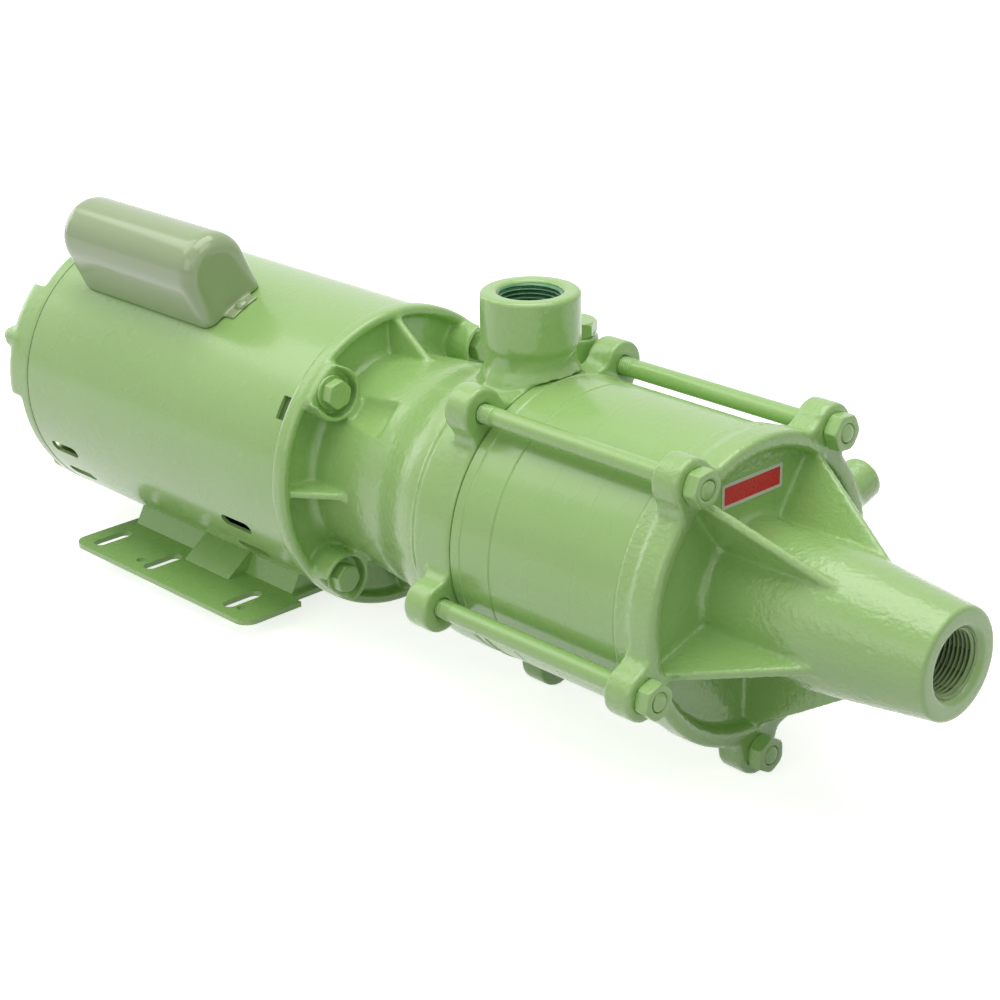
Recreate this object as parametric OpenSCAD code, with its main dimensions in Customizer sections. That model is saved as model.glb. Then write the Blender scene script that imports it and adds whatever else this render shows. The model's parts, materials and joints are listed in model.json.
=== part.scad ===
// Close-coupled multistage centrifugal pump with its motor, in millimetres.
// The shaft lies along X with the suction nose at +X, and Z is up.
// The origin is on the underside of the foot plate, midway between its outer slots.

/* [Shaft line and motor] */
// Outer radius of the rolled motor frame
frame_r = 82.5; // [80:0.1:86]
// Height of the frame's lowest line above the underside of the foot plate
frame_clear = 6.4; // [5.5:0.1:12]
// Wall of the motor frame
frame_wall = 2; // [1.5:0.1:2.5]
// Length of the motor frame
frame_len = 237.5; // [230:0.5:260]
// Distance from the origin back to the rear edge of the frame
frame_back = 116; // [108:0.5:122]
// Depth of the rear end bell behind the frame
bell_depth = 26; // [25:0.5:32]
// Length of the stator and rotor stacks
stack_len = 96; // [80:1:104]
// Radial depth of the stator's laminations
stator_depth = 34; // [32:0.5:36]
// Radial air gap between rotor and stator
air_gap = 0.5; // [0.4:0.05:1]

/* [Foot] */
// Length of the foot plate along the shaft
foot_len = 169; // [160:1:180]
// Width of the foot plate
foot_w = 170; // [165:1:180]
// Thickness of the foot plate
foot_t = 3; // [2:0.2:4]
// Distance along the shaft between the outer pairs of slots
slot_span = 127; // [120:0.5:132]
// Distance from the front pair of slots back to the middle pair
slot_inner = 76.2; // [70:0.2:90]
// Distance across the shaft between the centres of a pair of slots
slot_across = 132; // [126:0.5:136]
// Length of a slot
slot_len = 26; // [20:0.5:28]
// Width of a slot
slot_w = 8.8; // [7:0.1:10]

/* [Capacitor cover] */
// Direction of the cover round the shaft, counted from +Y towards +Z
cap_angle = 115; // [105:1:118]
// Width of the cover
cap_w = 43; // [40:1:50]
// Height of the cover above the frame
cap_h = 45; // [42:1:52]
// Length of the cover
cap_len = 128; // [115:1:132]
// Distance from the rear edge of the frame to the cover
cap_inset = 23; // [18:1:30]
// Sheet thickness of the cover
cap_wall = 1.5; // [1:0.1:2]
// Radius of the capacitor
capacitor_r = 16.5; // [14:0.5:17.5]
// Length of the capacitor
capacitor_len = 86; // [70:1:90]

/* [Discharge bracket] */
// Thickness of the bracket's motor flange at its rim
flange_t = 10; // [9:0.5:13]
// How far the flange rim stands out beyond the frame
flange_over = 2.7; // [1:0.1:4]
// Distance from the outside of the frame in to the bolts that hold the bracket
bolt_inset = 7.9; // [7:0.1:10]
// Size across the flats of those bolts
bolt_af = 14.3; // [12:0.1:15]
// Distance from the motor frame to the axis of the outlet
frame_to_port = 112; // [108:0.5:130]
// Distance from the outside of the frame in to the neck behind the outlet
neck_inset = 22.5; // [20:0.5:25]
// Height of the outlet face above the stages
port_rise = 41.4; // [38:0.1:55]
// Outer radius of the outlet collar
port_r = 25.7; // [24:0.1:27]
// Height of the outlet collar
collar_h = 27; // [20:0.5:30]
// Radius of the pipe thread of both ports, at its roots
thread_r = 16.6; // [16:0.1:17.4]
// Length of the pipe thread of both ports
thread_len = 24; // [20:0.5:27]

/* [Stages] */
// Length of one stage
pitch = 28; // [28:0.5:34]
// Distance from the axis of the outlet to the first joint
port_to_stage = 18; // [17:0.5:22]
// Wall of the stage casings
casing_wall = 8; // [7.5:0.25:9]

/* [Tie rods] */
// Distance from the outside of the casings out to the axes of the tie rods
rod_stand = 9; // [8:0.25:12]
// Radius of a tie rod
rod_r = 5; // [4:0.25:5.5]
// Radius of the lugs round the tie rods
lug_r = 13; // [11.5:0.25:14]
// Thickness of the lugs
lug_t = 16; // [12:0.5:17]
// Size across the flats of the nuts
nut_af = 17; // [15:0.5:18]
// Height of a nut
nut_h = 8; // [6:0.5:10]

/* [Suction cover] */
// Depth of the cover's flange, from the last joint to the nut seats
cover_depth = 26; // [25:0.5:32]
// Length from the last joint to the end of the nose
cover_len = 138.5; // [130:0.5:160]
// How far the flange stands out beyond the casings between the lugs
cover_over = 3; // [2:0.25:4]
// Width of the raised rim on the front of the flange
cover_rim = 8; // [6:0.5:10]
// Depth of the recess inside the rim
pan_depth = 8.5; // [6:0.5:10]
// Outer radius of the nose at its end
nose_r = 27.2; // [25:0.1:29]
// Distance from the rim in to the nose cone where it leaves the recess
cone_inset = 14.5; // [13.5:0.5:19]
// Thickness of the webs between the lugs and the nose
web_t = 5; // [4:0.25:7]

/* [Impellers and shaft] */
// Outer radius of the impellers
impeller_r = 55; // [50:0.5:60]
// Width of the diffuser ring round the impellers
diffuser_w = 13; // [11:0.5:16]
// Radius of the impeller eye
eye_r = 20; // [19:0.25:22]
// Width of the impeller's water passage
passage_w = 5; // [3.5:0.25:5.5]
// Radius of the shaft inside the pump
shaft_r = 9; // [8:0.25:9.5]
// Vanes of one impeller
impeller_vanes = 6; // [5:1:7]
// Vanes of one diffuser
diffuser_vanes = 7; // [6:1:9]

/* [Fits] */
// Radial clearance of registers and screws in their holes
fit_gap = 0.05; // [0.02:0.01:0.1]
// Gap between turning and fixed pieces
run_gap = 0.5; // [0.4:0.05:0.8]

/* [Hidden] */
$fn = 96;

paint = [0.58, 0.74, 0.47];
paint_grey = [0.62, 0.73, 0.55];
steel = [0.70, 0.71, 0.73];
iron = [0.50, 0.51, 0.52];
copper = [0.72, 0.42, 0.22];
bronze = [0.76, 0.62, 0.36];
plastic = [0.20, 0.21, 0.22];
rubber = [0.10, 0.10, 0.11];
ceramic = [0.90, 0.88, 0.82];
alloy = [0.78, 0.79, 0.80];
// Overlap that keeps a cut from ending on a face
eps = 0.5;

// Places along the shaft
frame_x0 = -frame_back;
frame_x1 = frame_x0 + frame_len;
port_x = frame_x1 + frame_to_port;
stages = 4;
stage_x0 = port_x + port_to_stage;
cover_x0 = stage_x0 + stages * pitch;
seat_x = cover_x0 + cover_depth;
nose_x = cover_x0 + cover_len;
stack_x0 = frame_x0 + (frame_len - stack_len) / 2 - 4;
stack_x1 = stack_x0 + stack_len;
frame_ri = frame_r - frame_wall;
shaft_h = frame_r + frame_clear;
stator_bore_r = frame_ri - stator_depth;

// Rings of the stages and what stands round them
chamber_r = impeller_r + diffuser_w;
body_r = chamber_r + casing_wall;
rod_circle_r = body_r + rod_stand;
port_h = body_r + port_rise;

// Bearings: bore radius, outer radius, width, ball radius, number of balls
rear_bearing = [8.5, 20, 12, 3.3, 8];
front_bearing = [10, 23.5, 14, 3.9, 8];
rear_bearing_x = frame_x0 - bell_depth + 10;
front_bearing_x = frame_x1 - 20;

// Motor bolts
through_r = 2.5;
through_circle_r = frame_ri - 4;
through_angles = [70, 160, 250, 340];
bolt_pcd = 2 * (frame_r - bolt_inset);
bolt_r = 4.7;
bolt_head_h = 6.5;
washer_t = 1.6;
bolt_angles = [45, 135, 225, 315];
shield_t = 10;
hub_wall = 5;

// Bracket: its cavity, floor of the dished flange, seal plate and water chamber
neck_r = frame_r - neck_inset;
cavity_r = neck_r - 10;
dish_x = frame_x1 + 3.5;
seat_x0 = frame_x1 + flange_t + 4.5;
pocket_r = bolt_af * 0.58 + 4;
pocket_wall = 2.7;
pocket_h = 7.5;
wrench_r = pocket_r + 4.7;
wrench_reach = 35;
ring_x0 = port_x - 8;
ring_r = body_r + 0.5;
chamber_x0 = port_x - 37.5;
plate_t = 8;
plate_x0 = chamber_x0 - plate_t;
register_h = 3;
ring_groove = 2;
register_r = chamber_r + 4;
port_neck_r = port_r - 2.3;
port_bore_r = thread_r - 3;
port_chamfer = 1.4;
rod_angles = [54, 126, 198, 270, 342];

// Priming plug beside the outlet
plug_x = port_x - 14;
plug_y = 46;
plug_top = body_r + 4;
plug_boss_r = 12.5;
plug_thread_r = 8.3;

// Mechanical seal, counted from the front of the seal plate
seat_r = 16;
gasket_t = 2;
seal_x = chamber_x0 + 0.3;
head_len = 8;
spring_len = 10;
collar_len = 5;
spacer_r = shaft_r + 3.5;
spacer_x0 = seal_x + head_len + spring_len + collar_len;

// One stage, counted from its joint on the outlet side
disc_x = 9;
disc_t = 3;
web_w = 3;
shroud_t = 2.2;
wheel_x = disc_x + disc_t + 1;
wheel_w = 2 * shroud_t + passage_w;
eye_wall = 3.5;
wheel_hub_end = wheel_x + wheel_w + 1.5;
nut_x = cover_x0 - pitch + wheel_hub_end;
shaft_nut_h = 9;
shaft_end = nut_x + shaft_nut_h + 2;
shaft_thread_r = shaft_r - 2;

// Suction cover
pan_x = seat_x - pan_depth;
cover_r = body_r + cover_over;
pan_r = cover_r - cover_rim;
cone_r = pan_r - cone_inset;
cover_wall = 6;
nose_taper = 0.118;
web_end_x = nose_x - 56.5;
drain_angle = 18;
drain_x = seat_x - 13;
drain_reach = body_r + 21;
drain_boss_r = 11.5;
drain_thread_r = 6.6;
mouth_x = nose_x - thread_len;

// Local Z along the shaft, X to world Y and Y to world Z, so that angles count from +Y to +Z
module on_shaft(x = 0) {
    translate([x, 0, shaft_h]) rotate([90, 0, 90]) children();
}

// Points of an arc, for outlines
function arc(c, r, a0, a1, n = 8) =
    [for (i = [0:n]) let (a = a0 + (a1 - a0) * i / n) [c[0] + r * cos(a), c[1] + r * sin(a)]];

// Smooth step from 0 to 1
function ease(t) = t * t * (3 - 2 * t);

module tube(ro, ri, h) {
    difference() {
        cylinder(r = ro, h = h);
        translate([0, 0, -eps]) cylinder(r = ri, h = h + 2 * eps);
    }
}

module polar(angles, r) {
    for (a = angles) rotate(a) translate([r, 0, 0]) children();
}

// Hexagon with both ends chamfered, flats apart by af
module hexagon(af, h) {
    corner = af / sqrt(3);
    intersection() {
        cylinder(r = corner, h = h, $fn = 6);
        rotate_extrude($fn = 48)
            polygon([[0, 0], [af / 2 + 0.1, 0], [corner + 0.1, corner - af / 2],
                     [corner + 0.1, h - corner + af / 2], [af / 2 + 0.1, h], [0, h]]);
    }
}

// Part of a ring between two radii and two angles less than 180 degrees apart
module sector(r0, r1, a0, a1) {
    far = r1 / cos((a1 - a0) / 2) + 1;
    intersection() {
        difference() {
            circle(r = r1);
            circle(r = r0);
        }
        polygon([[0, 0], far * [cos(a0), sin(a0)], far * [cos((a0 + a1) / 2), sin((a0 + a1) / 2)],
                 far * [cos(a1), sin(a1)]]);
    }
}

// Curved vane: an arc band from radius r0 to r1 that turns through sweep degrees
module vane(r0, r1, sweep, bend, t) {
    p = [r0, 0];
    q = r1 * [cos(sweep), sin(sweep)];
    mid = (p + q) / 2;
    half = norm(q - p) / 2;
    side = [-(q - p)[1], (q - p)[0]] / (2 * half);
    c = mid + side * sign(bend) * sqrt(bend * bend - half * half);
    lo = min(0, sweep) - 14;
    hi = max(0, sweep) + 14;
    intersection() {
        difference() {
            translate(c) circle(r = abs(bend) + t / 2);
            translate(c) circle(r = abs(bend) - t / 2);
        }
        sector(r0, r1, lo, hi);
    }
}

// Outline of a disc with round lugs that run into it through hollow fillets
module lugged_disc(disc, fillet) {
    reach = disc + fillet;
    d = rod_circle_r;
    cosine = (d * d + reach * reach - pow(lug_r + fillet, 2)) / (2 * d * reach);
    sine = sqrt(1 - cosine * cosine);
    circle(r = disc);
    for (a = rod_angles) rotate(a) {
        translate([d, 0]) circle(r = lug_r, $fn = 48);
        for (s = [-1, 1]) difference() {
            polygon([[0, 0], [d, 0], [reach * cosine, s * reach * sine]]);
            translate([reach * cosine, s * reach * sine]) circle(r = fillet, $fn = 48);
        }
    }
}

module slot_cut(len, w, h) {
    translate([0, -len / 2 + w / 2, 0]) cylinder(r = w / 2, h = h, $fn = 32);
    translate([0, len / 2 - w / 2, 0]) cylinder(r = w / 2, h = h, $fn = 32);
    translate([-w / 2, -len / 2 + w / 2, 0]) cube([w, len - w, h]);
}

module motor_frame() {
    vent_len = 26;
    vent_w = 7.5;
    rear_vent_x = frame_x0 + 10.5 + vent_len / 2;
    front_vent_x = frame_x1 - 33 - vent_len / 2;
    color(paint) difference() {
        on_shaft(frame_x0) tube(frame_r, frame_ri, frame_len);
        for (x = [rear_vent_x, front_vent_x], a = [204, 219, 321, 336])
            on_shaft(x) rotate(a) translate([frame_ri - eps, 0, 0])
                rotate([90, 0, 90]) slot_cut(vent_len, vent_w, frame_wall + 2 * eps);
        for (a = [32, 148])
            on_shaft(frame_x1 - 7.5) rotate(a)
                translate([frame_ri - eps, -6.5, 0]) cube([frame_wall + 2 * eps, 13, 7.5 + eps]);
    }
}

module foot_plate() {
    corner_r = 9;
    front_x = foot_len / 2 + 6;
    rear_x = front_x - foot_len;
    step = 8;
    inner_w = foot_w - 80;
    color(paint) difference() {
        union() {
            for (x = [rear_x + corner_r, front_x - corner_r], y = [-1, 1])
                translate([x, y * (foot_w / 2 - corner_r), 0])
                    cylinder(r = corner_r, h = foot_t, $fn = 48);
            translate([rear_x, -foot_w / 2 + corner_r, 0])
                cube([foot_len, foot_w - 2 * corner_r, foot_t]);
            translate([rear_x + corner_r, -foot_w / 2, 0])
                cube([foot_len - 2 * corner_r, foot_w, foot_t]);
        }
        translate([front_x - step, -inner_w / 2, -eps]) cube([step + eps, inner_w, foot_t + 2 * eps]);
        for (x = [slot_span / 2, slot_span / 2 - slot_inner, -slot_span / 2], y = [-1, 1])
            translate([x, y * slot_across / 2, -eps]) slot_cut(slot_len, slot_w, foot_t + 2 * eps);
        for (x = [slot_span / 2 + 9, slot_span / 2 - slot_inner - 11.5], y = [-1, 1])
            translate([x, y * (slot_across / 2 + 7.5), -eps])
                cylinder(r = 2.7, h = foot_t + 2 * eps, $fn = 32);
    }
}

module foot_saddle() {
    front_x = foot_len / 2 - 6;
    length = foot_len - 18;
    out_y = 42;
    in_y = 22;
    sheet = 3;
    ramp_x = -6;
    ramp_len = 42;
    color(paint) difference() {
        union() {
            for (s = [-1, 1]) {
                translate([front_x - length, 0, foot_t]) rotate([90, 0, 90]) linear_extrude(length)
                    polygon([[s * out_y, 0], [s * (out_y - 9), 16], [s * in_y, 10], [s * in_y, 0]]);
                translate([ramp_x, 0, foot_t]) rotate([90, 0, 90]) linear_extrude(ramp_len)
                    polygon([[s * (out_y + 13), 0], [s * (out_y - 9), 16], [s * in_y, 0]]);
            }
        }
        on_shaft(front_x - length - eps) cylinder(r = frame_r + 0.02, h = length + 2 * eps);
        translate([front_x - length - eps, -in_y - sheet, foot_t - eps])
            cube([length + 2 * eps, 2 * (in_y + sheet), eps + 1.5]);
    }
}

// Ball bearing rings and balls, each given by its bearing's list of sizes
function groove_r(b) = b[3] + 0.05;
function ball_circle(b) = (b[0] + b[1]) / 2;

module bearing_outer(b) {
    color(steel) difference() {
        tube(b[1] - fit_gap, ball_circle(b) + b[3] * 0.62, b[2]);
        translate([0, 0, b[2] / 2]) rotate_extrude() translate([ball_circle(b), 0])
            circle(r = groove_r(b) + 0.3, $fn = 48);
    }
}

module bearing_inner(b) {
    color(steel) difference() {
        tube(ball_circle(b) - b[3] * 0.62, b[0], b[2]);
        translate([0, 0, b[2] / 2]) rotate_extrude() translate([ball_circle(b), 0])
            circle(r = groove_r(b), $fn = 48);
    }
}

module bearing_balls(b) {
    cage_t = b[3] * 0.5;
    cage_w = b[3] * 2 + 2.4;
    balls = [for (i = [0:b[4] - 1]) 360 * i / b[4]];
    translate([0, 0, b[2] / 2]) {
        color(steel) polar(balls, ball_circle(b)) sphere(r = b[3], $fn = 32);
        color(bronze) difference() {
            translate([0, 0, -cage_w / 2])
                tube(ball_circle(b) + cage_t / 2, ball_circle(b) - cage_t / 2, cage_w);
            polar(balls, ball_circle(b)) rotate([0, 90, 0])
                translate([0, 0, -2 * cage_t]) cylinder(r = b[3] + 0.1, h = 4 * cage_t, $fn = 32);
        }
    }
}

module rear_end_bell() {
    corner_r = 9;
    wall = frame_r - frame_ri + fit_gap + 3;
    reg_r = frame_ri - fit_gap;
    hub_r = rear_bearing[1] + hub_wall;
    seat_bottom = rear_bearing_x - frame_x0;
    hub_face = seat_bottom + rear_bearing[2] + 1;
    back = -bell_depth;
    c = [frame_r - corner_r, back + corner_r];
    outline = concat(
        [[0, back]],
        arc(c, corner_r, -90, 0),
        [[frame_r, 0], [reg_r, 0], [reg_r, 4], [reg_r - 3, 4]],
        arc(c, corner_r - wall, 0, -90),
        [[hub_r, back + wall], [hub_r, hub_face], [rear_bearing[1], hub_face],
         [rear_bearing[1], seat_bottom], [rear_bearing[0] + 3, seat_bottom],
         [rear_bearing[0] + 3, back + wall], [0, back + wall]]);
    color(paint) on_shaft(frame_x0) difference() {
        union() {
            difference() {
                rotate_extrude() polygon(outline);
                for (a = [25, 115, 205, 295])
                    translate([0, 0, back - eps]) linear_extrude(bell_depth - 10 + eps)
                        sector(54, frame_r + 2, a - 20, a + 20);
            }
            polar(through_angles, through_circle_r) translate([0, 0, back - 1.5])
                cylinder(r = 7, h = 14, $fn = 48);
            translate([0, 0, back - 1.1]) linear_extrude(2.6) {
                circle(r = hub_r + 1);
                for (a = through_angles) rotate(a) translate([hub_r - 2, -3])
                    square([through_circle_r - hub_r + 2, 6]);
            }
        }
        polar(through_angles, through_circle_r) translate([0, 0, back - 2])
            cylinder(r = through_r + fit_gap, h = bell_depth + 10, $fn = 32);
    }
}

module front_end_shield() {
    hub_r = front_bearing[1] + hub_wall;
    seat_end = front_bearing_x + front_bearing[2] - frame_x1;
    color(paint) on_shaft(frame_x1) difference() {
        union() {
            translate([0, 0, -shield_t]) cylinder(r = frame_ri - fit_gap, h = shield_t);
            translate([0, 0, front_bearing_x - frame_x1 - 1]) cylinder(r = hub_r, h = 12);
            cylinder(r = cavity_r - fit_gap, h = 3);
        }
        translate([0, 0, front_bearing_x - frame_x1 - 2])
            cylinder(r = front_bearing[1], h = seat_end - front_bearing_x + frame_x1 + 2);
        translate([0, 0, -shield_t]) cylinder(r = front_bearing[0] + 4, h = shield_t + 4);
        translate([0, 0, -shield_t - eps]) linear_extrude(shield_t + 4) for (a = [0:90:270])
            sector(hub_r + 6, cavity_r - 4, a - 24, a + 24);
        polar(bolt_angles, bolt_pcd / 2) translate([0, 0, -shield_t - eps])
            cylinder(r = bolt_r + fit_gap, h = shield_t + 2 * eps, $fn = 32);
        polar(through_angles, through_circle_r) translate([0, 0, -shield_t - eps])
            cylinder(r = through_r + fit_gap, h = shield_t + 2 * eps, $fn = 32);
    }
}

module motor_through_bolts() {
    head_x = frame_x0 - bell_depth - 1.5;
    color(steel) on_shaft() polar(through_angles, through_circle_r) {
        translate([0, 0, head_x - 4]) hexagon(8, 4);
        translate([0, 0, head_x - 1]) cylinder(r = through_r, h = frame_x1 - head_x, $fn = 32);
    }
}

slots_n = 24;
slot_r0 = stator_bore_r + 2;
slot_r1 = frame_ri - 14;

// Half width of a stator slot at a radius
function slot_half(r) = r * sin(180 / slots_n) * 0.55;

module winding_slot() {
    polygon([[slot_r0, -slot_half(slot_r0)], [slot_r1, -slot_half(slot_r1)],
             [slot_r1, slot_half(slot_r1)], [slot_r0, slot_half(slot_r0)]]);
    translate([slot_r1, 0]) circle(r = slot_half(slot_r1), $fn = 24);
}

module coil_side() {
    clear = 0.3;
    polygon([[slot_r0 + 1, clear - slot_half(slot_r0)], [slot_r1, clear - slot_half(slot_r1)],
             [slot_r1, slot_half(slot_r1) - clear], [slot_r0 + 1, slot_half(slot_r0) - clear]]);
}

module stator_core() {
    color(iron) on_shaft(stack_x0) linear_extrude(stack_len) difference() {
        circle(r = frame_ri - fit_gap);
        circle(r = stator_bore_r);
        for (i = [0:slots_n - 1]) rotate(360 * i / slots_n) {
            winding_slot();
            translate([stator_bore_r - 1, -1]) square([4, 2]);
        }
        for (a = through_angles) rotate(a) {
            translate([through_circle_r, 0]) circle(r = through_r + 0.4, $fn = 32);
            translate([through_circle_r, -through_r - 0.4]) square([6, 2 * through_r + 0.8]);
        }
    }
}

module stator_windings() {
    overhang = 24;
    ring_mid = (slot_r0 + slot_r1) / 2 + 1;
    ring_half = (slot_r1 - slot_r0) / 2;
    soft = 6;
    color(copper) on_shaft() {
        for (x = [stack_x0 - overhang, stack_x1])
            translate([0, 0, x]) rotate_extrude()
                polygon(concat(
                    arc([ring_mid - ring_half + soft, soft], soft, 270, 180, 6),
                    arc([ring_mid - ring_half + soft, overhang - soft], soft, 180, 90, 6),
                    arc([ring_mid + ring_half - soft, overhang - soft], soft, 90, 0, 6),
                    arc([ring_mid + ring_half - soft, soft], soft, 0, -90, 6)));
        translate([0, 0, stack_x0 - 2]) linear_extrude(stack_len + 4)
            for (i = [0:slots_n - 1]) rotate(360 * i / slots_n) coil_side();
    }
}

rotor_r = stator_bore_r - air_gap;
rotor_bore_r = shaft_r + 3;

module rotor_core() {
    bars = 30;
    color(iron) on_shaft(stack_x0) linear_extrude(stack_len) difference() {
        circle(r = rotor_r);
        circle(r = rotor_bore_r);
        for (i = [0:bars - 1]) rotate(360 * i / bars)
            translate([rotor_r - 5, 0]) circle(r = 2.6, $fn = 24);
    }
}

module rotor_end_rings() {
    bars = 30;
    ring_w = 9;
    fins = 10;
    color(alloy) on_shaft() difference() {
        union() {
            for (x = [stack_x0 - ring_w, stack_x1])
                translate([0, 0, x]) tube(rotor_r - 1, rotor_r - 14, ring_w);
            for (i = [0:fins - 1], x = [stack_x0 - 2 * ring_w, stack_x1 + ring_w - 1]) rotate(360 * i / fins)
                translate([rotor_r - 13, -1.5, x]) cube([10, 3, ring_w + 1]);
            for (i = [0:bars - 1]) rotate(360 * i / bars)
                translate([rotor_r - 5, 0, stack_x0 - 1]) cylinder(r = 2.55, h = stack_len + 2, $fn = 24);
        }
    }
}

module cooling_fan() {
    blades = 9;
    fan_x = frame_x0 + 6;
    fan_w = 16;
    hub_r = 16;
    tip_r = 60;
    color(plastic) on_shaft(fan_x) difference() {
        union() {
            cylinder(r = hub_r, h = fan_w);
            translate([0, 0, fan_w - 2]) cylinder(r = tip_r, h = 2);
            linear_extrude(fan_w) for (i = [0:blades - 1]) rotate(360 * i / blades)
                vane(hub_r - 1, tip_r - 0.4, -28, -70, 2.2);
        }
        translate([0, 0, -eps]) cylinder(r = shaft_r + 1, h = fan_w + 2 * eps);
    }
}

switch_x = stack_x1 + 30;

module switch_weight() {
    color(plastic) on_shaft(switch_x) difference() {
        union() {
            cylinder(r = 16, h = 10);
            translate([0, 0, 7]) cylinder(r = 24, h = 3);
            linear_extrude(6) for (a = [0, 180]) sector(18, 27, a - 50, a + 50);
            linear_extrude(4) for (a = [0, 180]) sector(15, 19, a - 12, a + 12);
        }
        translate([0, 0, -eps]) cylinder(r = shaft_r + 2, h = 12);
    }
}

module switch_board() {
    board_x = switch_x + 12;
    shield_x = frame_x1 - shield_t;
    post_r = front_bearing[1] + hub_wall + 3.2;
    color(plastic) on_shaft(board_x) difference() {
        union() {
            tube(post_r + 4, shaft_r + 9, 2);
            polar(bolt_angles, post_r) cylinder(r = 3, h = shield_x - board_x, $fn = 24);
        }
    }
}

// Outline across the cover: a tunnel with straight sides, X pointing away from the shaft
module cap_outline(inset) {
    half = cap_w / 2 - inset;
    crown = frame_r + cap_h - cap_w / 2;
    foot = frame_r * cos(asin(cap_w / 2 / frame_r)) - 4;
    translate([crown, 0]) circle(r = half, $fn = 40);
    translate([foot, -half]) square([crown - foot, 2 * half]);
}

module cap_solid(inset) {
    edge = 9 - inset;
    length = cap_len - 2 * inset;
    steps = 4;
    hull() for (i = [0:steps]) {
        a = 90 * i / steps;
        translate([0, 0, inset + edge * (1 - sin(a))])
            linear_extrude(length - 2 * edge * (1 - sin(a))) cap_outline(inset + edge * (1 - cos(a)));
    }
}

cap_x0 = frame_x0 + cap_inset;
cap_foot_half = asin(cap_w / 2 / frame_r);

module capacitor_cover() {
    tab = 10;
    color(paint_grey) on_shaft(cap_x0) rotate(cap_angle) difference() {
        union() {
            cap_solid(0);
            for (x = [-tab + 2, cap_len - 2]) translate([0, 0, x]) linear_extrude(tab)
                sector(frame_r, frame_r + cap_wall, -7, 7);
        }
        cap_solid(cap_wall);
        translate([0, 0, -tab]) cylinder(r = frame_r + 0.02, h = cap_len + 2 * tab);
        for (x = [-tab / 2 + 0.5, cap_len + tab / 2 - 0.5])
            translate([frame_r - eps, 0, x]) rotate([0, 90, 0])
                cylinder(r = 2.1, h = cap_wall + 2 * eps, $fn = 32);
    }
}

module capacitor_cover_screws() {
    tab = 10;
    color(steel) on_shaft(cap_x0) rotate(cap_angle) for (x = [-tab / 2 + 0.5, cap_len + tab / 2 - 0.5]) {
        translate([frame_r + cap_wall, 0, x]) rotate([0, 90, 0]) rotate_extrude($fn = 32)
            polygon([[0, 0], [3.6, 0], [3.3, 1.2], [2, 2], [0, 2.3]]);
        translate([frame_r + 0.05, 0, x]) rotate([0, 90, 0]) cylinder(r = 2, h = cap_wall, $fn = 32);
    }
}

module start_capacitor() {
    lift = frame_r + capacitor_r + 0.5;
    color(plastic) on_shaft(cap_x0 + (cap_len - capacitor_len) / 2) rotate(cap_angle) {
        translate([lift, 0, 0]) {
            cylinder(r = capacitor_r, h = capacitor_len);
            translate([0, 0, capacitor_len - 1]) tube(capacitor_r - 1.5, capacitor_r - 3.5, 3);
        }
        for (x = [8, capacitor_len - 20])
            difference() {
                translate([frame_r - 1, -8, x]) cube([6, 16, 12]);
                translate([0, 0, x - eps]) cylinder(r = frame_r + 0.02, h = 12 + 2 * eps);
            }
    }
    color(alloy) on_shaft(cap_x0 + (cap_len + capacitor_len) / 2) rotate(cap_angle)
        for (s = [-1, 1]) translate([lift - 3, s * 6 - 0.4, -1]) cube([6, 0.8, 9]);
}

module pump_shaft() {
    x0 = rear_bearing_x - 2;
    rear_end = rear_bearing_x + rear_bearing[2];
    front_end = front_bearing_x + front_bearing[2];
    ch = 1;
    outline = [
        [0, x0], [rear_bearing[0] - ch, x0], [rear_bearing[0], x0 + ch], [rear_bearing[0], rear_end],
        [shaft_r + 1, rear_end], [shaft_r + 1, stack_x0 - 12], [rotor_bore_r, stack_x0 - 12],
        [rotor_bore_r, stack_x1 + 12], [shaft_r + 2, stack_x1 + 12], [shaft_r + 2, front_bearing_x],
        [front_bearing[0], front_bearing_x], [front_bearing[0], front_end + 30],
        [shaft_r, front_end + 32], [shaft_r, nut_x - 0.5], [shaft_thread_r, nut_x - 0.5],
        [shaft_thread_r, shaft_end - ch], [shaft_thread_r - ch, shaft_end], [0, shaft_end]];
    color(steel) difference() {
        on_shaft() rotate_extrude() polygon(outline);
        on_shaft(key_x0) translate([shaft_r - key_deep, -key_w / 2, 0]) cube([key_w, key_w, key_len]);
    }
}

key_w = 5;
key_deep = 2.5;
key_x0 = stage_x0 + wheel_x;
key_len = (stages - 1) * pitch + wheel_w;

module impeller_key() {
    color(steel) on_shaft(key_x0 + fit_gap)
        translate([shaft_r - key_deep + fit_gap, -key_w / 2 + fit_gap, 0])
            cube([key_deep + 1.8, key_w - 2 * fit_gap, key_len - 2 * fit_gap]);
}

module water_deflector() {
    disc_r = 19;
    color(rubber) on_shaft(plate_x0 - 22) rotate_extrude()
        polygon([[shaft_r + 0.02, 0], [shaft_r + 5, 0], [shaft_r + 5, 5], [disc_r, 10],
                 [disc_r, 11.5], [shaft_r + 4, 8], [shaft_r + 0.02, 8]]);
}

module seal_seat() {
    color(ceramic) on_shaft(chamber_x0 - 6) tube(seat_r, shaft_r + 1, 6);
}

module seal_seat_gasket() {
    color(rubber) on_shaft(chamber_x0 - 6 - gasket_t) difference() {
        cylinder(r = seat_r + gasket_t, h = 6 + gasket_t);
        translate([0, 0, gasket_t]) cylinder(r = seat_r, h = 7);
        translate([0, 0, -eps]) cylinder(r = seat_r - 3, h = 4);
    }
}

module seal_head() {
    color(plastic) on_shaft(seal_x) rotate_extrude()
        polygon([[shaft_r + 0.02, 1], [shaft_r + 2, 0], [shaft_r + 5, 0], [shaft_r + 5, 2],
                 [shaft_r + 7, 2.5], [shaft_r + 7, head_len], [shaft_r + 0.02, head_len]]);
}

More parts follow.
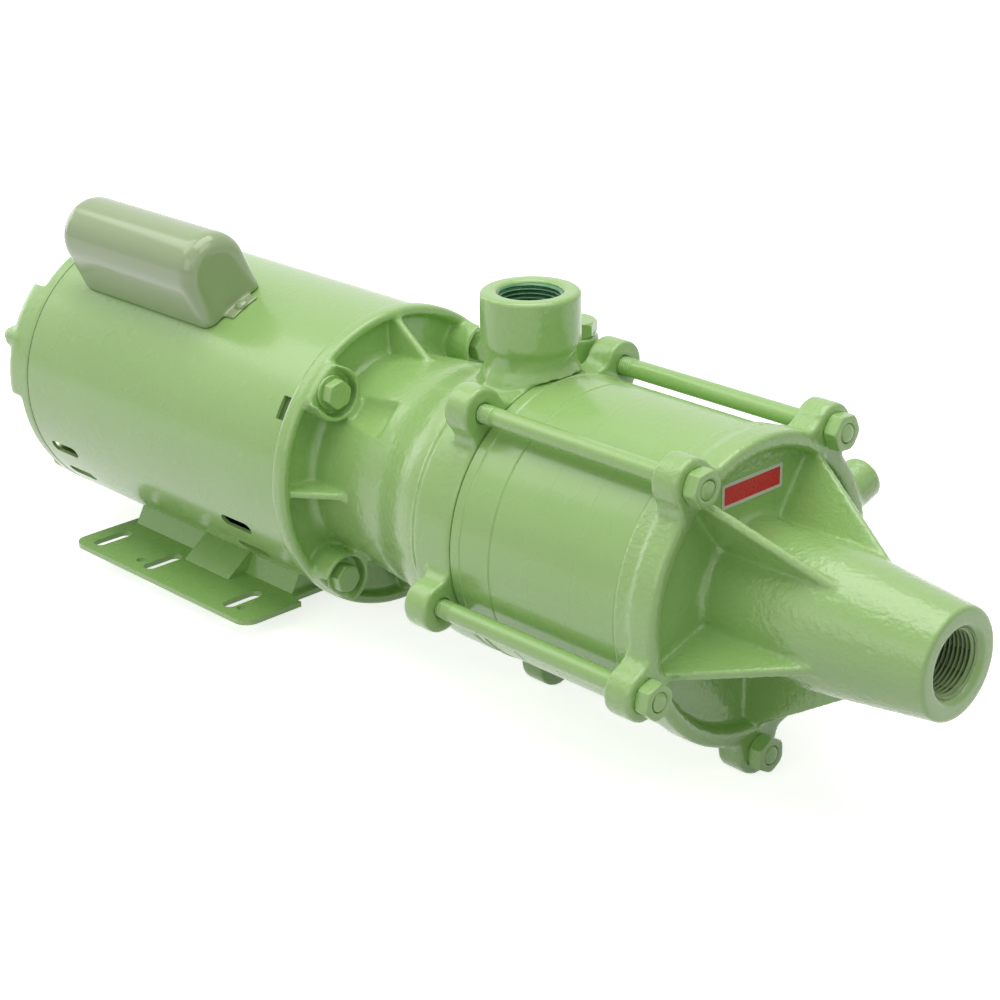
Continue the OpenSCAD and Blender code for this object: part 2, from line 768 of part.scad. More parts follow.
// Coil of round wire as a swept polyhedron with flat end rings
module coil(mid_r, wire_r, length, turns, steps, sides) {
    n = turns * steps;
    points = [for (i = [0:n]) let (a = 360 * i / steps, z = wire_r + (length - 2 * wire_r) * i / n)
        for (j = [0:sides - 1]) let (b = 360 * j / sides, r = mid_r + wire_r * cos(b))
            [r * cos(a), r * sin(a), z + wire_r * sin(b)]];
    quads = [for (i = [0:n - 1], j = [0:sides - 1]) let (k = (j + 1) % sides)
        [i * sides + j, (i + 1) * sides + j, (i + 1) * sides + k, i * sides + k]];
    ends = [[for (j = [0:sides - 1]) j], [for (j = [sides - 1:-1:0]) n * sides + j]];
    polyhedron(points, concat(quads, ends));
}

module seal_spring() {
    color(steel) on_shaft(seal_x + head_len) coil(shaft_r + 3.5, 0.8, spring_len, 4, 16, 6);
}

module seal_collar() {
    color(steel) on_shaft(seal_x + head_len + spring_len) rotate_extrude()
        polygon([[shaft_r + 0.02, 0], [shaft_r + 6, 0], [shaft_r + 6, 3], [shaft_r + 4, collar_len],
                 [shaft_r + 0.02, collar_len]]);
}

// Outline of the bracket: outside from the flange to the joint, then back along the inside
function bracket_outline() =
    let (rim_r = frame_r + flange_over,
         x0 = frame_x1,
         flare_x0 = port_x - 58,
         flare_x1 = port_x - 13,
         flare_r0 = neck_r + 3,
         flare_r1 = body_r - 3)
    concat(
        [[cavity_r, x0], [rim_r - 1, x0], [rim_r, x0 + 1], [rim_r, x0 + flange_t - 1.5],
         [rim_r - 1.5, x0 + flange_t], [rim_r - 4.5, x0 + flange_t], [rim_r - 5.5, x0 + flange_t - 1],
         [rim_r - 6.5, dish_x]],
        arc([neck_r - 1 + 6, dish_x + 6], 6, 270, 180, 5),
        [for (i = [0:10]) let (t = i / 10)
            [flare_r0 + (flare_r1 - flare_r0) * ease(t), flare_x0 + (flare_x1 - flare_x0) * t]],
        [[ring_r - 2.5, ring_x0 - 3.5], [ring_r, ring_x0], [ring_r, stage_x0 - 0.7],
         [ring_r - 0.7, stage_x0],
         [chamber_r, stage_x0], [chamber_r, port_x - 14],
         [chamber_r - 3, port_x - 24], [chamber_r - 10, chamber_x0],
         [seat_r + gasket_t + fit_gap, chamber_x0], [seat_r + gasket_t + fit_gap, plate_x0],
         [shaft_r + 4, plate_x0], [shaft_r + 4, plate_x0 - 3],
         [cavity_r - 14, plate_x0 - 3], [cavity_r, plate_x0 - 22]]);

// Outline of a rib between the neck and the rim, raised by lift
module bracket_rib(lift) {
    rim_r = frame_r + flange_over;
    foot_x = dish_x - 1;
    polygon([[neck_r - 6, foot_x], [rim_r - 4, foot_x], [rim_r - 4, frame_x1 + flange_t - 2.5 + lift],
             [rim_r - 6, frame_x1 + flange_t - 1.5 + lift], [neck_r + 2, frame_x1 + 32 + lift],
             [neck_r - 6, frame_x1 + 36 + lift]]);
}

module discharge_bracket() {
    rib_t = 4.5;
    rim_r = frame_r + flange_over;
    color(paint) difference() {
        union() {
            on_shaft() rotate_extrude() polygon(bracket_outline());
            on_shaft() difference() {
                union() {
                    for (a = [0, 90, 180, 270]) rotate(a) translate([0, rib_t / 2, 0])
                        rotate([90, 0, 0]) linear_extrude(rib_t) bracket_rib(a == 90 ? 3 : 0);
                    polar(bolt_angles, bolt_pcd / 2) translate([0, 0, dish_x - 1])
                        cylinder(r = pocket_r + pocket_wall, h = seat_x0 + pocket_h - dish_x + 1);
                }
                tube(rim_r + pocket_r, rim_r - 1, port_x);
                polar(bolt_angles, bolt_pcd / 2) translate([0, 0, seat_x0]) {
                    cylinder(r = pocket_r, h = pocket_h + eps);
                    translate([0, -pocket_r, 0]) cube([2 * pocket_r, 2 * pocket_r, pocket_h + eps]);
                }
            }
            on_shaft(stage_x0 - lug_t) linear_extrude(lug_t) lugged_disc(ring_r - 1, 9);
            translate([port_x, 0, shaft_h]) rotate_extrude() polygon(concat(
                [[0, body_r - 24], [port_neck_r + 7, body_r - 24]],
                arc([port_neck_r + 11, body_r + 7], 11, 220, 180, 6),
                [[port_neck_r, port_h - collar_h - 3], [port_r, port_h - collar_h],
                 [port_r, port_h - 1.5], [port_r - 1.5, port_h], [0, port_h]]));
            translate([plug_x, plug_y, shaft_h + 40]) cylinder(r = plug_boss_r, h = plug_top - 40);
        }
        on_shaft() rotate_extrude() polygon([[0, chamber_x0], [chamber_r - 10, chamber_x0],
            [chamber_r - 3, port_x - 24], [chamber_r, port_x - 14],
            [chamber_r, stage_x0 - register_h - 0.2],
            [register_r + fit_gap, stage_x0 - register_h - 0.2],
            [register_r + fit_gap, stage_x0 - ring_groove],
            [register_r + ring_groove, stage_x0 - ring_groove], [register_r + ring_groove, stage_x0],
            [body_r + 0.6, stage_x0], [body_r + 0.6, stage_x0 + pitch], [0, stage_x0 + pitch]]);
        on_shaft(seat_x0 + pocket_h) polar(bolt_angles, bolt_pcd / 2)
            cylinder(r = wrench_r, h = wrench_reach - pocket_h);
        translate([port_x, 0, shaft_h]) {
            cylinder(r = port_bore_r, h = port_h + eps);
            translate([0, 0, port_h - thread_len]) cylinder(r = thread_r, h = thread_len + eps);
            translate([0, 0, port_h - port_chamfer])
                cylinder(r1 = thread_r, r2 = thread_r + port_chamfer + eps, h = port_chamfer + eps);
        }
        translate([plug_x, plug_y, shaft_h]) {
            cylinder(r = plug_thread_r - 1.5, h = plug_top + eps);
            translate([0, 0, plug_top - 13]) cylinder(r = plug_thread_r, h = 13 + eps);
        }
        on_shaft(stage_x0 - lug_t + 2) polar(rod_angles, rod_circle_r)
            cylinder(r = rod_r + fit_gap, h = lug_t, $fn = 48);
        on_shaft(frame_x1 - eps) polar(bolt_angles, bolt_pcd / 2)
            cylinder(r = bolt_r + 0.4, h = seat_x0 - frame_x1 + 2 * eps, $fn = 32);
        on_shaft(frame_x1 - eps) cylinder(r = cavity_r, h = 4);
    }
}

module priming_plug() {
    color(paint) translate([plug_x, plug_y, shaft_h + plug_top]) {
        hexagon(21, 8);
        cylinder(r = 11, h = 1.5);
        translate([0, 0, -12]) cylinder(r = plug_thread_r - fit_gap, h = 12);
    }
}

module bracket_bolts() {
    color(paint) on_shaft() polar(bolt_angles, bolt_pcd / 2) {
        translate([0, 0, seat_x0 + washer_t]) hexagon(bolt_af, bolt_head_h);
        translate([0, 0, frame_x1 - shield_t + 1])
            cylinder(r = bolt_r, h = seat_x0 + washer_t - frame_x1 + shield_t, $fn = 32);
    }
}

module bracket_bolt_washers() {
    color(paint) on_shaft(seat_x0) polar(bolt_angles, bolt_pcd / 2)
        tube(bolt_af * 0.58 + 1.2, bolt_r + 0.3, washer_t);
}

// Casing ring of the stage that starts at x, with its wall on the suction side
module stage_casing(x) {
    soft = 0.7;
    eye_hole = eye_r + eye_wall + run_gap;
    color(paint) on_shaft(x) rotate_extrude()
        polygon([[body_r - soft, 0], [body_r, soft], [body_r, pitch - soft], [body_r - soft, pitch],
                 [register_r + ring_groove, pitch], [register_r + ring_groove, pitch - ring_groove],
                 [register_r + fit_gap, pitch - ring_groove],
                 [register_r + fit_gap, pitch - register_h - 0.2],
                 [chamber_r, pitch - register_h - 0.2], [chamber_r, pitch - 0.3],
                 [eye_hole, pitch - 0.3], [eye_hole, pitch - web_w], [chamber_r - 2, pitch - web_w],
                 [chamber_r, pitch - web_w - 2], [chamber_r, -register_h + soft],
                 [chamber_r + soft, -register_h], [register_r - soft, -register_h],
                 [register_r, -register_h + soft], [register_r, 0]]);
}

module diffuser(x) {
    inner_r = spacer_r + run_gap;
    rim_r = chamber_r - fit_gap;
    guide_r = impeller_r + 2.5;
    color(bronze) on_shaft(x) {
        translate([0, 0, disc_x]) tube(chamber_r - 5, inner_r, disc_t);
        translate([0, 0, 0.2]) linear_extrude(disc_x + 0.5) for (i = [0:diffuser_vanes - 1])
            rotate(360 * i / diffuser_vanes) vane(eye_r + 4, chamber_r - 6, -46, -42, 2.4);
        translate([0, 0, 0.2]) linear_extrude(pitch - web_w - 2.4) for (i = [0:diffuser_vanes - 1])
            rotate(360 * i / diffuser_vanes + 20) vane(guide_r, rim_r, 24, -38, 3);
    }
}

module impeller(x) {
    hub_r = spacer_r + 1.5;
    color(bronze) on_shaft(x) difference() {
        union() {
            translate([0, 0, wheel_x]) cylinder(r = impeller_r, h = shroud_t);
            translate([0, 0, wheel_x]) cylinder(r = spacer_r, h = wheel_hub_end - wheel_x);
            translate([0, 0, wheel_x]) rotate_extrude()
                polygon(concat(
                    [[0, 0], [hub_r + 6, 0]],
                    arc([hub_r + 6, shroud_t + 6], 6, 270, 180, 6),
                    [[0, shroud_t + 6]]));
            translate([0, 0, wheel_x + shroud_t - 0.2]) linear_extrude(passage_w + 0.4)
                for (i = [0:impeller_vanes - 1]) rotate(360 * i / impeller_vanes)
                    vane(eye_r + 0.5, impeller_r - 0.3, -72, -48, 2);
            translate([0, 0, wheel_x + shroud_t + passage_w]) tube(impeller_r, eye_r, shroud_t);
            translate([0, 0, wheel_x + shroud_t + passage_w])
                tube(eye_r + eye_wall, eye_r, pitch - wheel_x - shroud_t - passage_w - 0.8);
        }
        translate([0, 0, wheel_x - eps]) cylinder(r = shaft_r + 0.02, h = pitch);
        translate([shaft_r - key_deep, -key_w / 2, wheel_x - eps]) cube([key_deep + 1.9, key_w, pitch]);
    }
}

module shaft_spacers() {
    first = stage_x0 + wheel_x;
    gap = pitch - wheel_hub_end + wheel_x;
    color(steel) {
        on_shaft(spacer_x0) tube(spacer_r, shaft_r + 0.02, first - spacer_x0);
        for (i = [0:stages - 2]) on_shaft(first + i * pitch + wheel_hub_end - wheel_x) difference() {
            tube(spacer_r, shaft_r + 0.02, gap);
            translate([shaft_r - key_deep, -key_w / 2, -eps])
                cube([key_deep + 1.9, key_w, gap + 2 * eps]);
        }
    }
}

module impeller_nut() {
    color(steel) on_shaft(nut_x) difference() {
        union() {
            hexagon(22, shaft_nut_h);
            cylinder(r = spacer_r + 1.5, h = 2);
        }
        translate([0, 0, -eps]) cylinder(r = shaft_thread_r + 0.02, h = shaft_nut_h + 2 * eps);
    }
}

module casing_o_rings() {
    color(rubber) for (i = [0:stages]) on_shaft(stage_x0 + i * pitch - ring_groove / 2)
        rotate_extrude() translate([register_r + ring_groove / 2, 0])
            circle(r = ring_groove / 2 - fit_gap, $fn = 24);
}

// Radius of the nose's outside at a distance x from the last joint: a straight taper that flares
function nose_radius(x) =
    let (x0 = cover_depth - pan_depth,
         straight = cover_len - 48.5,
         flare = cone_r - nose_r - nose_taper * (cover_len - x0))
    nose_r + nose_taper * (cover_len - x) + flare * pow(max(0, straight - x) / (straight - x0), 1.6);

function cover_outline() =
    let (n = 12, x0 = cover_depth - pan_depth, x_in = cover_len - thread_len,
         bell = cover_wall + 1)
    concat(
        [[chamber_r - 6, 0], [chamber_r + 0.5, 0], [chamber_r + 0.5, -register_h],
         [register_r, -register_h], [register_r, 0],
         [body_r + 1, 0], [body_r + 1.5, 0.7], [body_r + 1.5, cover_depth - lug_t],
         [cover_r, cover_depth - lug_t + 2], [cover_r, cover_depth - 1.2], [cover_r - 1.2, cover_depth],
         [pan_r + 1, cover_depth], [pan_r - 1, cover_depth - 2], [pan_r - 2, x0]],
        arc([cone_r + 5, x0 + 4], 4, 270, 215, 4),
        [for (i = [1:n]) let (x = x0 + (cover_len - 1.2 - x0) * i / n) [nose_radius(x), x]],
        [[nose_r - 1.2, cover_len], [thread_r, cover_len], [thread_r, x_in], [port_bore_r, x_in],
         [port_bore_r, x_in - 8]],
        [for (i = [9:-1:0]) let (x = x0 + (x_in - 10 - x0) * i / 9)
            [max(port_bore_r, nose_radius(x) - bell), x - 2]],
        [[cone_r - 2, x0 - cover_wall + 3], [chamber_r - 8, x0 - cover_wall],
         [chamber_r - 6, x0 - cover_wall - 2]]);

module suction_cover() {
    web_root = cover_depth - pan_depth - 2;
    run = cover_len - 48.5;
    color(paint) difference() {
        union() {
            on_shaft(cover_x0) rotate_extrude() polygon(cover_outline());
            on_shaft(seat_x - lug_t) linear_extrude(lug_t) difference() {
                lugged_disc(cover_r - 3, 14);
                circle(r = pan_r + 1);
            }
            on_shaft(cover_x0) difference() {
                for (a = rod_angles) rotate(a)
                    translate([0, web_t / 2, 0]) rotate([90, 0, 0]) linear_extrude(web_t)
                        polygon([[30, web_root], [pan_r + 2, web_root], [pan_r + 2, cover_depth - 1],
                                 [pan_r - 1, cover_depth + 1],
                                 [nose_radius(web_end_x - cover_x0) + 0.5, web_end_x - cover_x0],
                                 [25, web_end_x - cover_x0]]);
                rotate_extrude() polygon(concat([[0, 0]],
                    [for (i = [0:9]) let (x = web_root + (run - web_root) * i / 9) [nose_radius(x) - 3, x]],
                    [[0, run]]));
            }
            on_shaft(drain_x) rotate(drain_angle) rotate([0, 90, 0]) {
                cylinder(r = drain_boss_r, h = drain_reach - 2);
                translate([0, 0, drain_reach - 2]) cylinder(r1 = drain_boss_r, r2 = drain_boss_r - 2, h = 2);
            }
        }
        on_shaft(cover_x0) rotate_extrude() polygon(concat(
            [[0, -register_h - eps], [chamber_r - 6, -register_h - eps],
             [chamber_r - 6, cover_depth - pan_depth - cover_wall - 2],
             [chamber_r - 8, cover_depth - pan_depth - cover_wall],
             [cone_r - 2, cover_depth - pan_depth - cover_wall + 3]],
            [for (i = [0:9]) let (x0 = cover_depth - pan_depth, x_in = cover_len - thread_len,
                x = x0 + (x_in - 10 - x0) * i / 9) [max(port_bore_r, nose_radius(x) - cover_wall - 1), x - 2]],
            [[port_bore_r, cover_len - thread_len + eps], [0, cover_len - thread_len + eps]]));
        on_shaft(nose_x - 1.2) cylinder(r1 = thread_r, r2 = thread_r + 1.2 + eps, h = 1.2 + eps);
        on_shaft(seat_x - lug_t - eps) polar(rod_angles, rod_circle_r)
            cylinder(r = rod_r + 0.5, h = lug_t + 2 * eps, $fn = 48);
        on_shaft(drain_x) rotate(drain_angle) rotate([0, 90, 0]) {
            translate([0, 0, chamber_r - 10])
                cylinder(r = drain_thread_r - 1.5, h = drain_reach - chamber_r + 10 + eps, $fn = 32);
            translate([0, 0, drain_reach - 12]) cylinder(r = drain_thread_r, h = 12 + eps, $fn = 48);
        }
    }
}

module drain_plug() {
    color(paint) on_shaft(drain_x) rotate(drain_angle) rotate([0, 90, 0]) translate([0, 0, drain_reach - 10])
        difference() {
            cylinder(r = drain_thread_r - fit_gap, h = 9.5, $fn = 48);
            translate([0, 0, 4]) cylinder(r = 3.8, h = 7, $fn = 6);
        }
}

module tie_rods() {
    length = seat_x - stage_x0 + lug_t - 2 + nut_h + 0.6;
    color(paint) on_shaft(stage_x0 - lug_t + 2) polar(rod_angles, rod_circle_r) rotate_extrude($fn = 48)
        polygon([[0, 0], [rod_r - 1, 0], [rod_r, 1],
                 [rod_r, length - 1], [rod_r - 1, length], [0, length]]);
}

module tie_rod_nuts() {
    color(paint) on_shaft(seat_x) polar(rod_angles, rod_circle_r) difference() {
        hexagon(nut_af, nut_h);
        translate([0, 0, -eps]) cylinder(r = rod_r + 0.02, h = nut_h + 2 * eps, $fn = 48);
    }
}

motor_frame();
foot_plate();
foot_saddle();
rear_end_bell();
front_end_shield();
motor_through_bolts();
stator_core();
stator_windings();
rotor_core();
rotor_end_rings();
on_shaft(rear_bearing_x) bearing_outer(rear_bearing);  // rear_bearing_outer_ring
on_shaft(rear_bearing_x) bearing_inner(rear_bearing);  // rear_bearing_inner_ring
on_shaft(rear_bearing_x) bearing_balls(rear_bearing);  // rear_bearing_ball_set
on_shaft(front_bearing_x) bearing_outer(front_bearing);  // front_bearing_outer_ring
on_shaft(front_bearing_x) bearing_inner(front_bearing);  // front_bearing_inner_ring
on_shaft(front_bearing_x) bearing_balls(front_bearing);  // front_bearing_ball_set
cooling_fan();
switch_weight();
switch_board();
capacitor_cover();
start_capacitor();
capacitor_cover_screws();
pump_shaft();
water_deflector();
seal_seat();
seal_seat_gasket();
seal_head();
seal_spring();
seal_collar();
discharge_bracket();
bracket_bolts();
bracket_bolt_washers();
stage_casing(stage_x0 + 3 * pitch);  // stage_casing_1
stage_casing(stage_x0 + 2 * pitch);  // stage_casing_2
stage_casing(stage_x0 + pitch);  // stage_casing_3
stage_casing(stage_x0);  // stage_casing_4
diffuser(stage_x0 + 3 * pitch);  // diffuser_1
diffuser(stage_x0 + 2 * pitch);  // diffuser_2
diffuser(stage_x0 + pitch);  // diffuser_3
diffuser(stage_x0);  // diffuser_4
impeller(stage_x0 + 3 * pitch);  // impeller_1
impeller(stage_x0 + 2 * pitch);  // impeller_2
impeller(stage_x0 + pitch);  // impeller_3
impeller(stage_x0);  // impeller_4
shaft_spacers();
impeller_key();
impeller_nut();
casing_o_rings();
suction_cover();
tie_rods();
tie_rod_nuts();
priming_plug();
drain_plug();
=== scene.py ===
"""Looks of the multistage centrifugal pump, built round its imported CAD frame.

Lengths are metres in the row frame: X runs along the shaft from the motor to the suction
port, Z is up and the feet stand on Z = 0. Places come from the frame's nodes and mounts.
The sizes that part.scad also holds are repeated here under its names, in capitals.
"""
import json
import math

import bmesh
import bpy
import numpy as np
from mathutils import Matrix, Vector, noise


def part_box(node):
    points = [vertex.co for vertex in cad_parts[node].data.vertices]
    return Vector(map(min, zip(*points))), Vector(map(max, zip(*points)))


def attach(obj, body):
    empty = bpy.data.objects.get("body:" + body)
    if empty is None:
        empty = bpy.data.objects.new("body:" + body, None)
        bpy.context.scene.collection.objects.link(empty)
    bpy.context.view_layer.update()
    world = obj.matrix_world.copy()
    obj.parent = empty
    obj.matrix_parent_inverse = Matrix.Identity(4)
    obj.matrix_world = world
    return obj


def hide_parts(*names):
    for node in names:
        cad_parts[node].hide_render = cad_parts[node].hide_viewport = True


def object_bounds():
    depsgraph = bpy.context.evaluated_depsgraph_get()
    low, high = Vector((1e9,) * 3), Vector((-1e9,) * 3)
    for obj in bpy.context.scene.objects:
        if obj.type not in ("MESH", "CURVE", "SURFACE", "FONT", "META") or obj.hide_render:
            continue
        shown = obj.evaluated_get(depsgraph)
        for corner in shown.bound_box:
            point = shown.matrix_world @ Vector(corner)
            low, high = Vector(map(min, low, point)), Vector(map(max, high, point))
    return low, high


MM = 0.001

# The photograph's camera: angles in degrees, lengths in metres
AZIMUTH, ELEVATION, ROLL = 46.32, 22.10, -1.01
DISTANCE = 1.17985
PAN = (0.00977, -0.00525)
LENS_MM, SENSOR_MM = 81.49, 36.0
SHIFT = (-0.01457, -0.00439)

# Lamps: name, place, width and depth, and power in watts. They all face the shaft, LAMP_AIM
# behind the outlet.
LAMPS = (
    ("top_light", (0.1, 0, 1.6), (1.4, 1.0), 13.8),
    ("top_left_light", (-0.9, -0.5, 1.3), (1.0, 0.8), 4),
    ("top_right_light", (1.1, 0, 1.4), (0.9, 0.9), 4.4),
    ("front_light", (0.2, -1.6, 0.7), (1.2, 0.8), 4),
    ("camera_light", (1.3, -1.2, 0.9), (0.9, 0.9), 1.6),
    ("left_light", (-1.6, -0.3, 0.5), (0.8, 0.8), 3.4),
)
LAMP_AIM = 0.03

# The room's light. Half a side of the floor, the share of the light that it throws back on the
# object, and its colour and glow where it is seen.
ROOM_LIGHT = 0.24
FLOOR_HALF = 4.0
FLOOR_BOUNCE, FLOOR_COLOUR, FLOOR_GLOW = 0.48, 0.9, 0.74

# Values of Blender's noise: from the lowest to the highest, and where most of it lies
ALL_NOISE, MOST_NOISE = (0.1, 0.9), (0.35, 0.65)

# Enamel: its clear top, how wide the drifts of its colour and gloss are, and its orange peel
COAT, COAT_ROUGHNESS = 0.35, 0.12
DRIFT_SIZE, GLOSS_SIZE = 70 * MM, 14 * MM
PEEL_SIZE, PEEL_DEPTH = 3.2 * MM, 0.006 * MM

# Width of the patches on bare metal, and of the grain of plastic, rubber and ceramic
PATCH_SIZE, MOULD_GRAIN = 20 * MM, 1.0 * MM

# What softens a piece: size of the voxels and rounds of smoothing
CASTING, PRESSING, FASTENER = (0.8 * MM, 14), (0.65 * MM, 18), (0.35 * MM, 5)
# Share of the smoothing that a machined face is spared, and how far that reaches from the face
# of a port and of the bracket's front
CRISP = 0.85
PORT_CRISP, FRONT_CRISP = 4 * MM, 2 * MM
# Width of the sand's print on a casting, and its height on most castings and on the rough cover
GRAIN_WIDTH = 2.4 * MM
GRAIN_HEIGHT, ROUGH_GRAIN_HEIGHT = 0.07 * MM, 0.16 * MM

# Tie rods, as in part.scad. Pitch and depth of their thread, the length that it shows, the
# length of their fine rows at the nuts, and the length of their rounded ends.
ROD_R = 5 * MM
ROD_CIRCLE_R = 85 * MM
ROD_ANGLES = (54, 126, 198, 270, 342)
ROD_PITCH, ROD_THREAD_DEPTH = 1.5 * MM, 0.55 * MM
ROD_THREAD_SHOWN, ROD_NUT_END = 22 * MM, 26 * MM
ROD_ROUND = 1.2 * MM
# Rounded ends of a rod: steps of the distance from its end and the loss of radius, in mm
ROD_REAR_STEPS = (0, 1.6), (0.6, 0.9)
ROD_NUT_STEPS = (0.7, 0.55), (0.2, 1.3), (0, 2.6)
# Share of a turn from the thread of one rod to that of the next
ROD_TURN = 0.37

# Pipe thread of both ports. How far its roots stand in from the bore, how far its sleeve reaches
# into the bore's wall, the share of its depth at the roots that takes painted shade, and the
# share of a turn over which it fades out at the mouth.
THREAD_R, THREAD_LEN = 16.6 * MM, 24 * MM
PORT_PITCH, PORT_THREAD_DEPTH = 2.309 * MM, 1.35 * MM
THREAD_INSET, SLEEVE_SUNK = 0.12 * MM, 0.1 * MM
ROOT_SHARE, THREAD_FADE = 0.3, 0.6

# Depth of the countersink in the mouth of the nose and of the outlet
INLET_MOUTH, OUTLET_MOUTH = 2.5 * MM, 1.4 * MM

# Suction cover, as in part.scad, its places counted from the last joint of the stages, and the
# bore behind the thread of a port
COVER_LEN, COVER_DEPTH, COVER_WALL = 138.5 * MM, 26 * MM, 6 * MM
PAN_R, PAN_DEPTH = 71 * MM, 8.5 * MM
NOSE_R, NOSE_TAPER = 27.2 * MM, 0.118
WEB_T = 5 * MM
PORT_BORE_R = 13.6 * MM
# Its form between flange and nose that part.scad hasn't: a straight barrel with a fillet at its
# root and a blend into the nose, and the place where the webs end on it
BARREL_R, BARREL_FILLET, NOSE_BLEND = 35.2 * MM, 5 * MM, 9 * MM
WEB_END = 84.5 * MM

# Joints of the stages, by the piece before each: how far that piece stands above the ring behind
# the joint, how open the joint is at half its height (-1 is shut), and how deep it is where open
JOINTS = (
    ("discharge_bracket", 0.5 * MM, 0.9, 0.5 * MM),
    ("stage_casing_1", 0, 0.5, 0.45 * MM),
    ("stage_casing_2", 0, -1, 0.45 * MM),
    ("stage_casing_3", 0, -1, 0.45 * MM),
)
JOINT_HALF_W = 0.7 * MM
# Least share of that depth, and how much more open a joint is at its foot than at half its height
JOINT_LEAST, JOINT_SAG = 0.1, 1.2
# How far the paint in a joint lies below the rings, and how far it reaches in
BEAD_BELOW, BEAD_REACH = 0.02 * MM, 1.4 * MM

# Line of painted shade at each end of the motor frame, for the shadow in the joint: width, and
# what its edge, its middle and its hidden foot add to the frame's radius
SEAM_W = 0.6 * MM
SEAM_EDGE, SEAM_MIDDLE, SEAM_FOOT = 0.08 * MM, 0.14 * MM, -0.4 * MM

# Bare plate on the floor of the suction cover: width, height and thickness, width of its border,
# and the place of its middle across the shaft and above it
BARE_W, BARE_H, BARE_T = 43.5 * MM, 12.6 * MM, 0.45 * MM
BARE_BORDER = 1.7 * MM
BARE_Y, BARE_RISE = -0.25 * MM, 52.0 * MM

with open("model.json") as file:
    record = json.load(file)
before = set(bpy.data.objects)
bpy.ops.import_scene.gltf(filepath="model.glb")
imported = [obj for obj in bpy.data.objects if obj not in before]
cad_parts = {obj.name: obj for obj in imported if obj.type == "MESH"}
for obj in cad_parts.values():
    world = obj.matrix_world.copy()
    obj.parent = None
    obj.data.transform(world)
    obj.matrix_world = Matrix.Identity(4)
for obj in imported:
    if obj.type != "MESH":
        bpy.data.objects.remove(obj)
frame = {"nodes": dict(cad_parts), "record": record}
cad_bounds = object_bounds()
nodes, record = frame["nodes"], frame["record"]
mounts = {m["name"]: m for m in record["mounts"]}
body_of_node = {n: b for b, names in record["behaviour"]["bodies"].items() for n in names}
slot_of_node = {s["node"]: s["material_slot"] for s in record["subparts"]}

shaft_z = mounts["suction_port"]["pos_m"][2]
port_x = mounts["discharge_port"]["pos_m"][0]
floor_z = cad_bounds[0].z


# ---------------------------------------------------------------- camera and stage

def place_camera():
    a, e, r = (math.radians(v) for v in (AZIMUTH, ELEVATION, ROLL))
    back = Vector((math.sin(a) * math.cos(e), -math.cos(a) * math.cos(e), math.sin(e)))
    level = Vector((math.cos(a), math.sin(a), 0))
    upright = back.cross(level)
    right = level * math.cos(r) + upright * math.sin(r)
    up = upright * math.cos(r) - level * math.sin(r)
    data = bpy.data.cameras.new("camera")
    data.lens, data.sensor_width = LENS_MM, SENSOR_MM
    data.shift_x, data.shift_y = SHIFT
    data.clip_start, data.clip_end = 0.05, 50
    camera = bpy.data.objects.new("camera", data)
    aim = Vector((port_x, 0, shaft_z))
    spot = aim - PAN[0] * right - PAN[1] * up + DISTANCE * back
    turn = Matrix((right, up, back)).transposed().to_4x4()
    camera.matrix_world = Matrix.Translation(spot) @ turn
    bpy.context.scene.collection.objects.link(camera)
    bpy.context.scene.camera = camera


def add(tree, kind, **sockets):
    """A node with its named inputs set to values or linked from output sockets."""
    node = tree.nodes.new(kind)
    for name, value in sockets.items():
        socket = node.inputs[name.replace("_", " ")]
        if isinstance(value, bpy.types.NodeSocket):
            tree.links.new(value, socket)
        else:
            socket.default_value = value
    return node


def seen_directly(tree):
    """1 for rays of the camera and for those that gloss or glass sends on, else 0."""
    path = tree.nodes.new("ShaderNodeLightPath")
    total = path.outputs["Is Camera Ray"]
    for name in ("Is Glossy Ray", "Is Transmission Ray"):
        step = tree.nodes.new("ShaderNodeMath")
        step.operation = "MAXIMUM"
        tree.links.new(total, step.inputs[0])
        tree.links.new(path.outputs[name], step.inputs[1])
        total = step.outputs[0]
    return total


def area_light(name, spot, size, power):
    data = bpy.data.lights.new(name, "AREA")
    data.shape = "RECTANGLE"
    data.size, data.size_y = size
    data.energy = power
    lamp = bpy.data.objects.new(name, data)
    lamp.location = spot
    aim = Vector((port_x - LAMP_AIM, 0, shaft_z))
    lamp.rotation_euler = (aim - Vector(spot)).to_track_quat("-Z", "Y").to_euler()
    bpy.context.scene.collection.objects.link(lamp)


def grey(level):
    return (level, level, level, 1)


def finish_stage(tree, output, lighting, seen):
    """Ends the tree with one shader for what is seen directly and one for the object's light."""
    mix = tree.nodes.new("ShaderNodeMixShader")
    out = tree.nodes.new(output)
    tree.links.new(seen_directly(tree), mix.inputs[0])
    tree.links.new(lighting.outputs[0], mix.inputs[1])
    tree.links.new(seen.outputs[0], mix.inputs[2])
    tree.links.new(mix.outputs[0], out.inputs["Surface"])


def build_room():
    world = bpy.data.worlds.new("studio")
    bpy.context.scene.world = world
    world.use_nodes = True
    tree = world.node_tree
    tree.nodes.clear()
    room = add(tree, "ShaderNodeBackground", Color=grey(1), Strength=ROOM_LIGHT)
    white = add(tree, "ShaderNodeBackground", Color=grey(1), Strength=1.0)
    finish_stage(tree, "ShaderNodeOutputWorld", room, white)


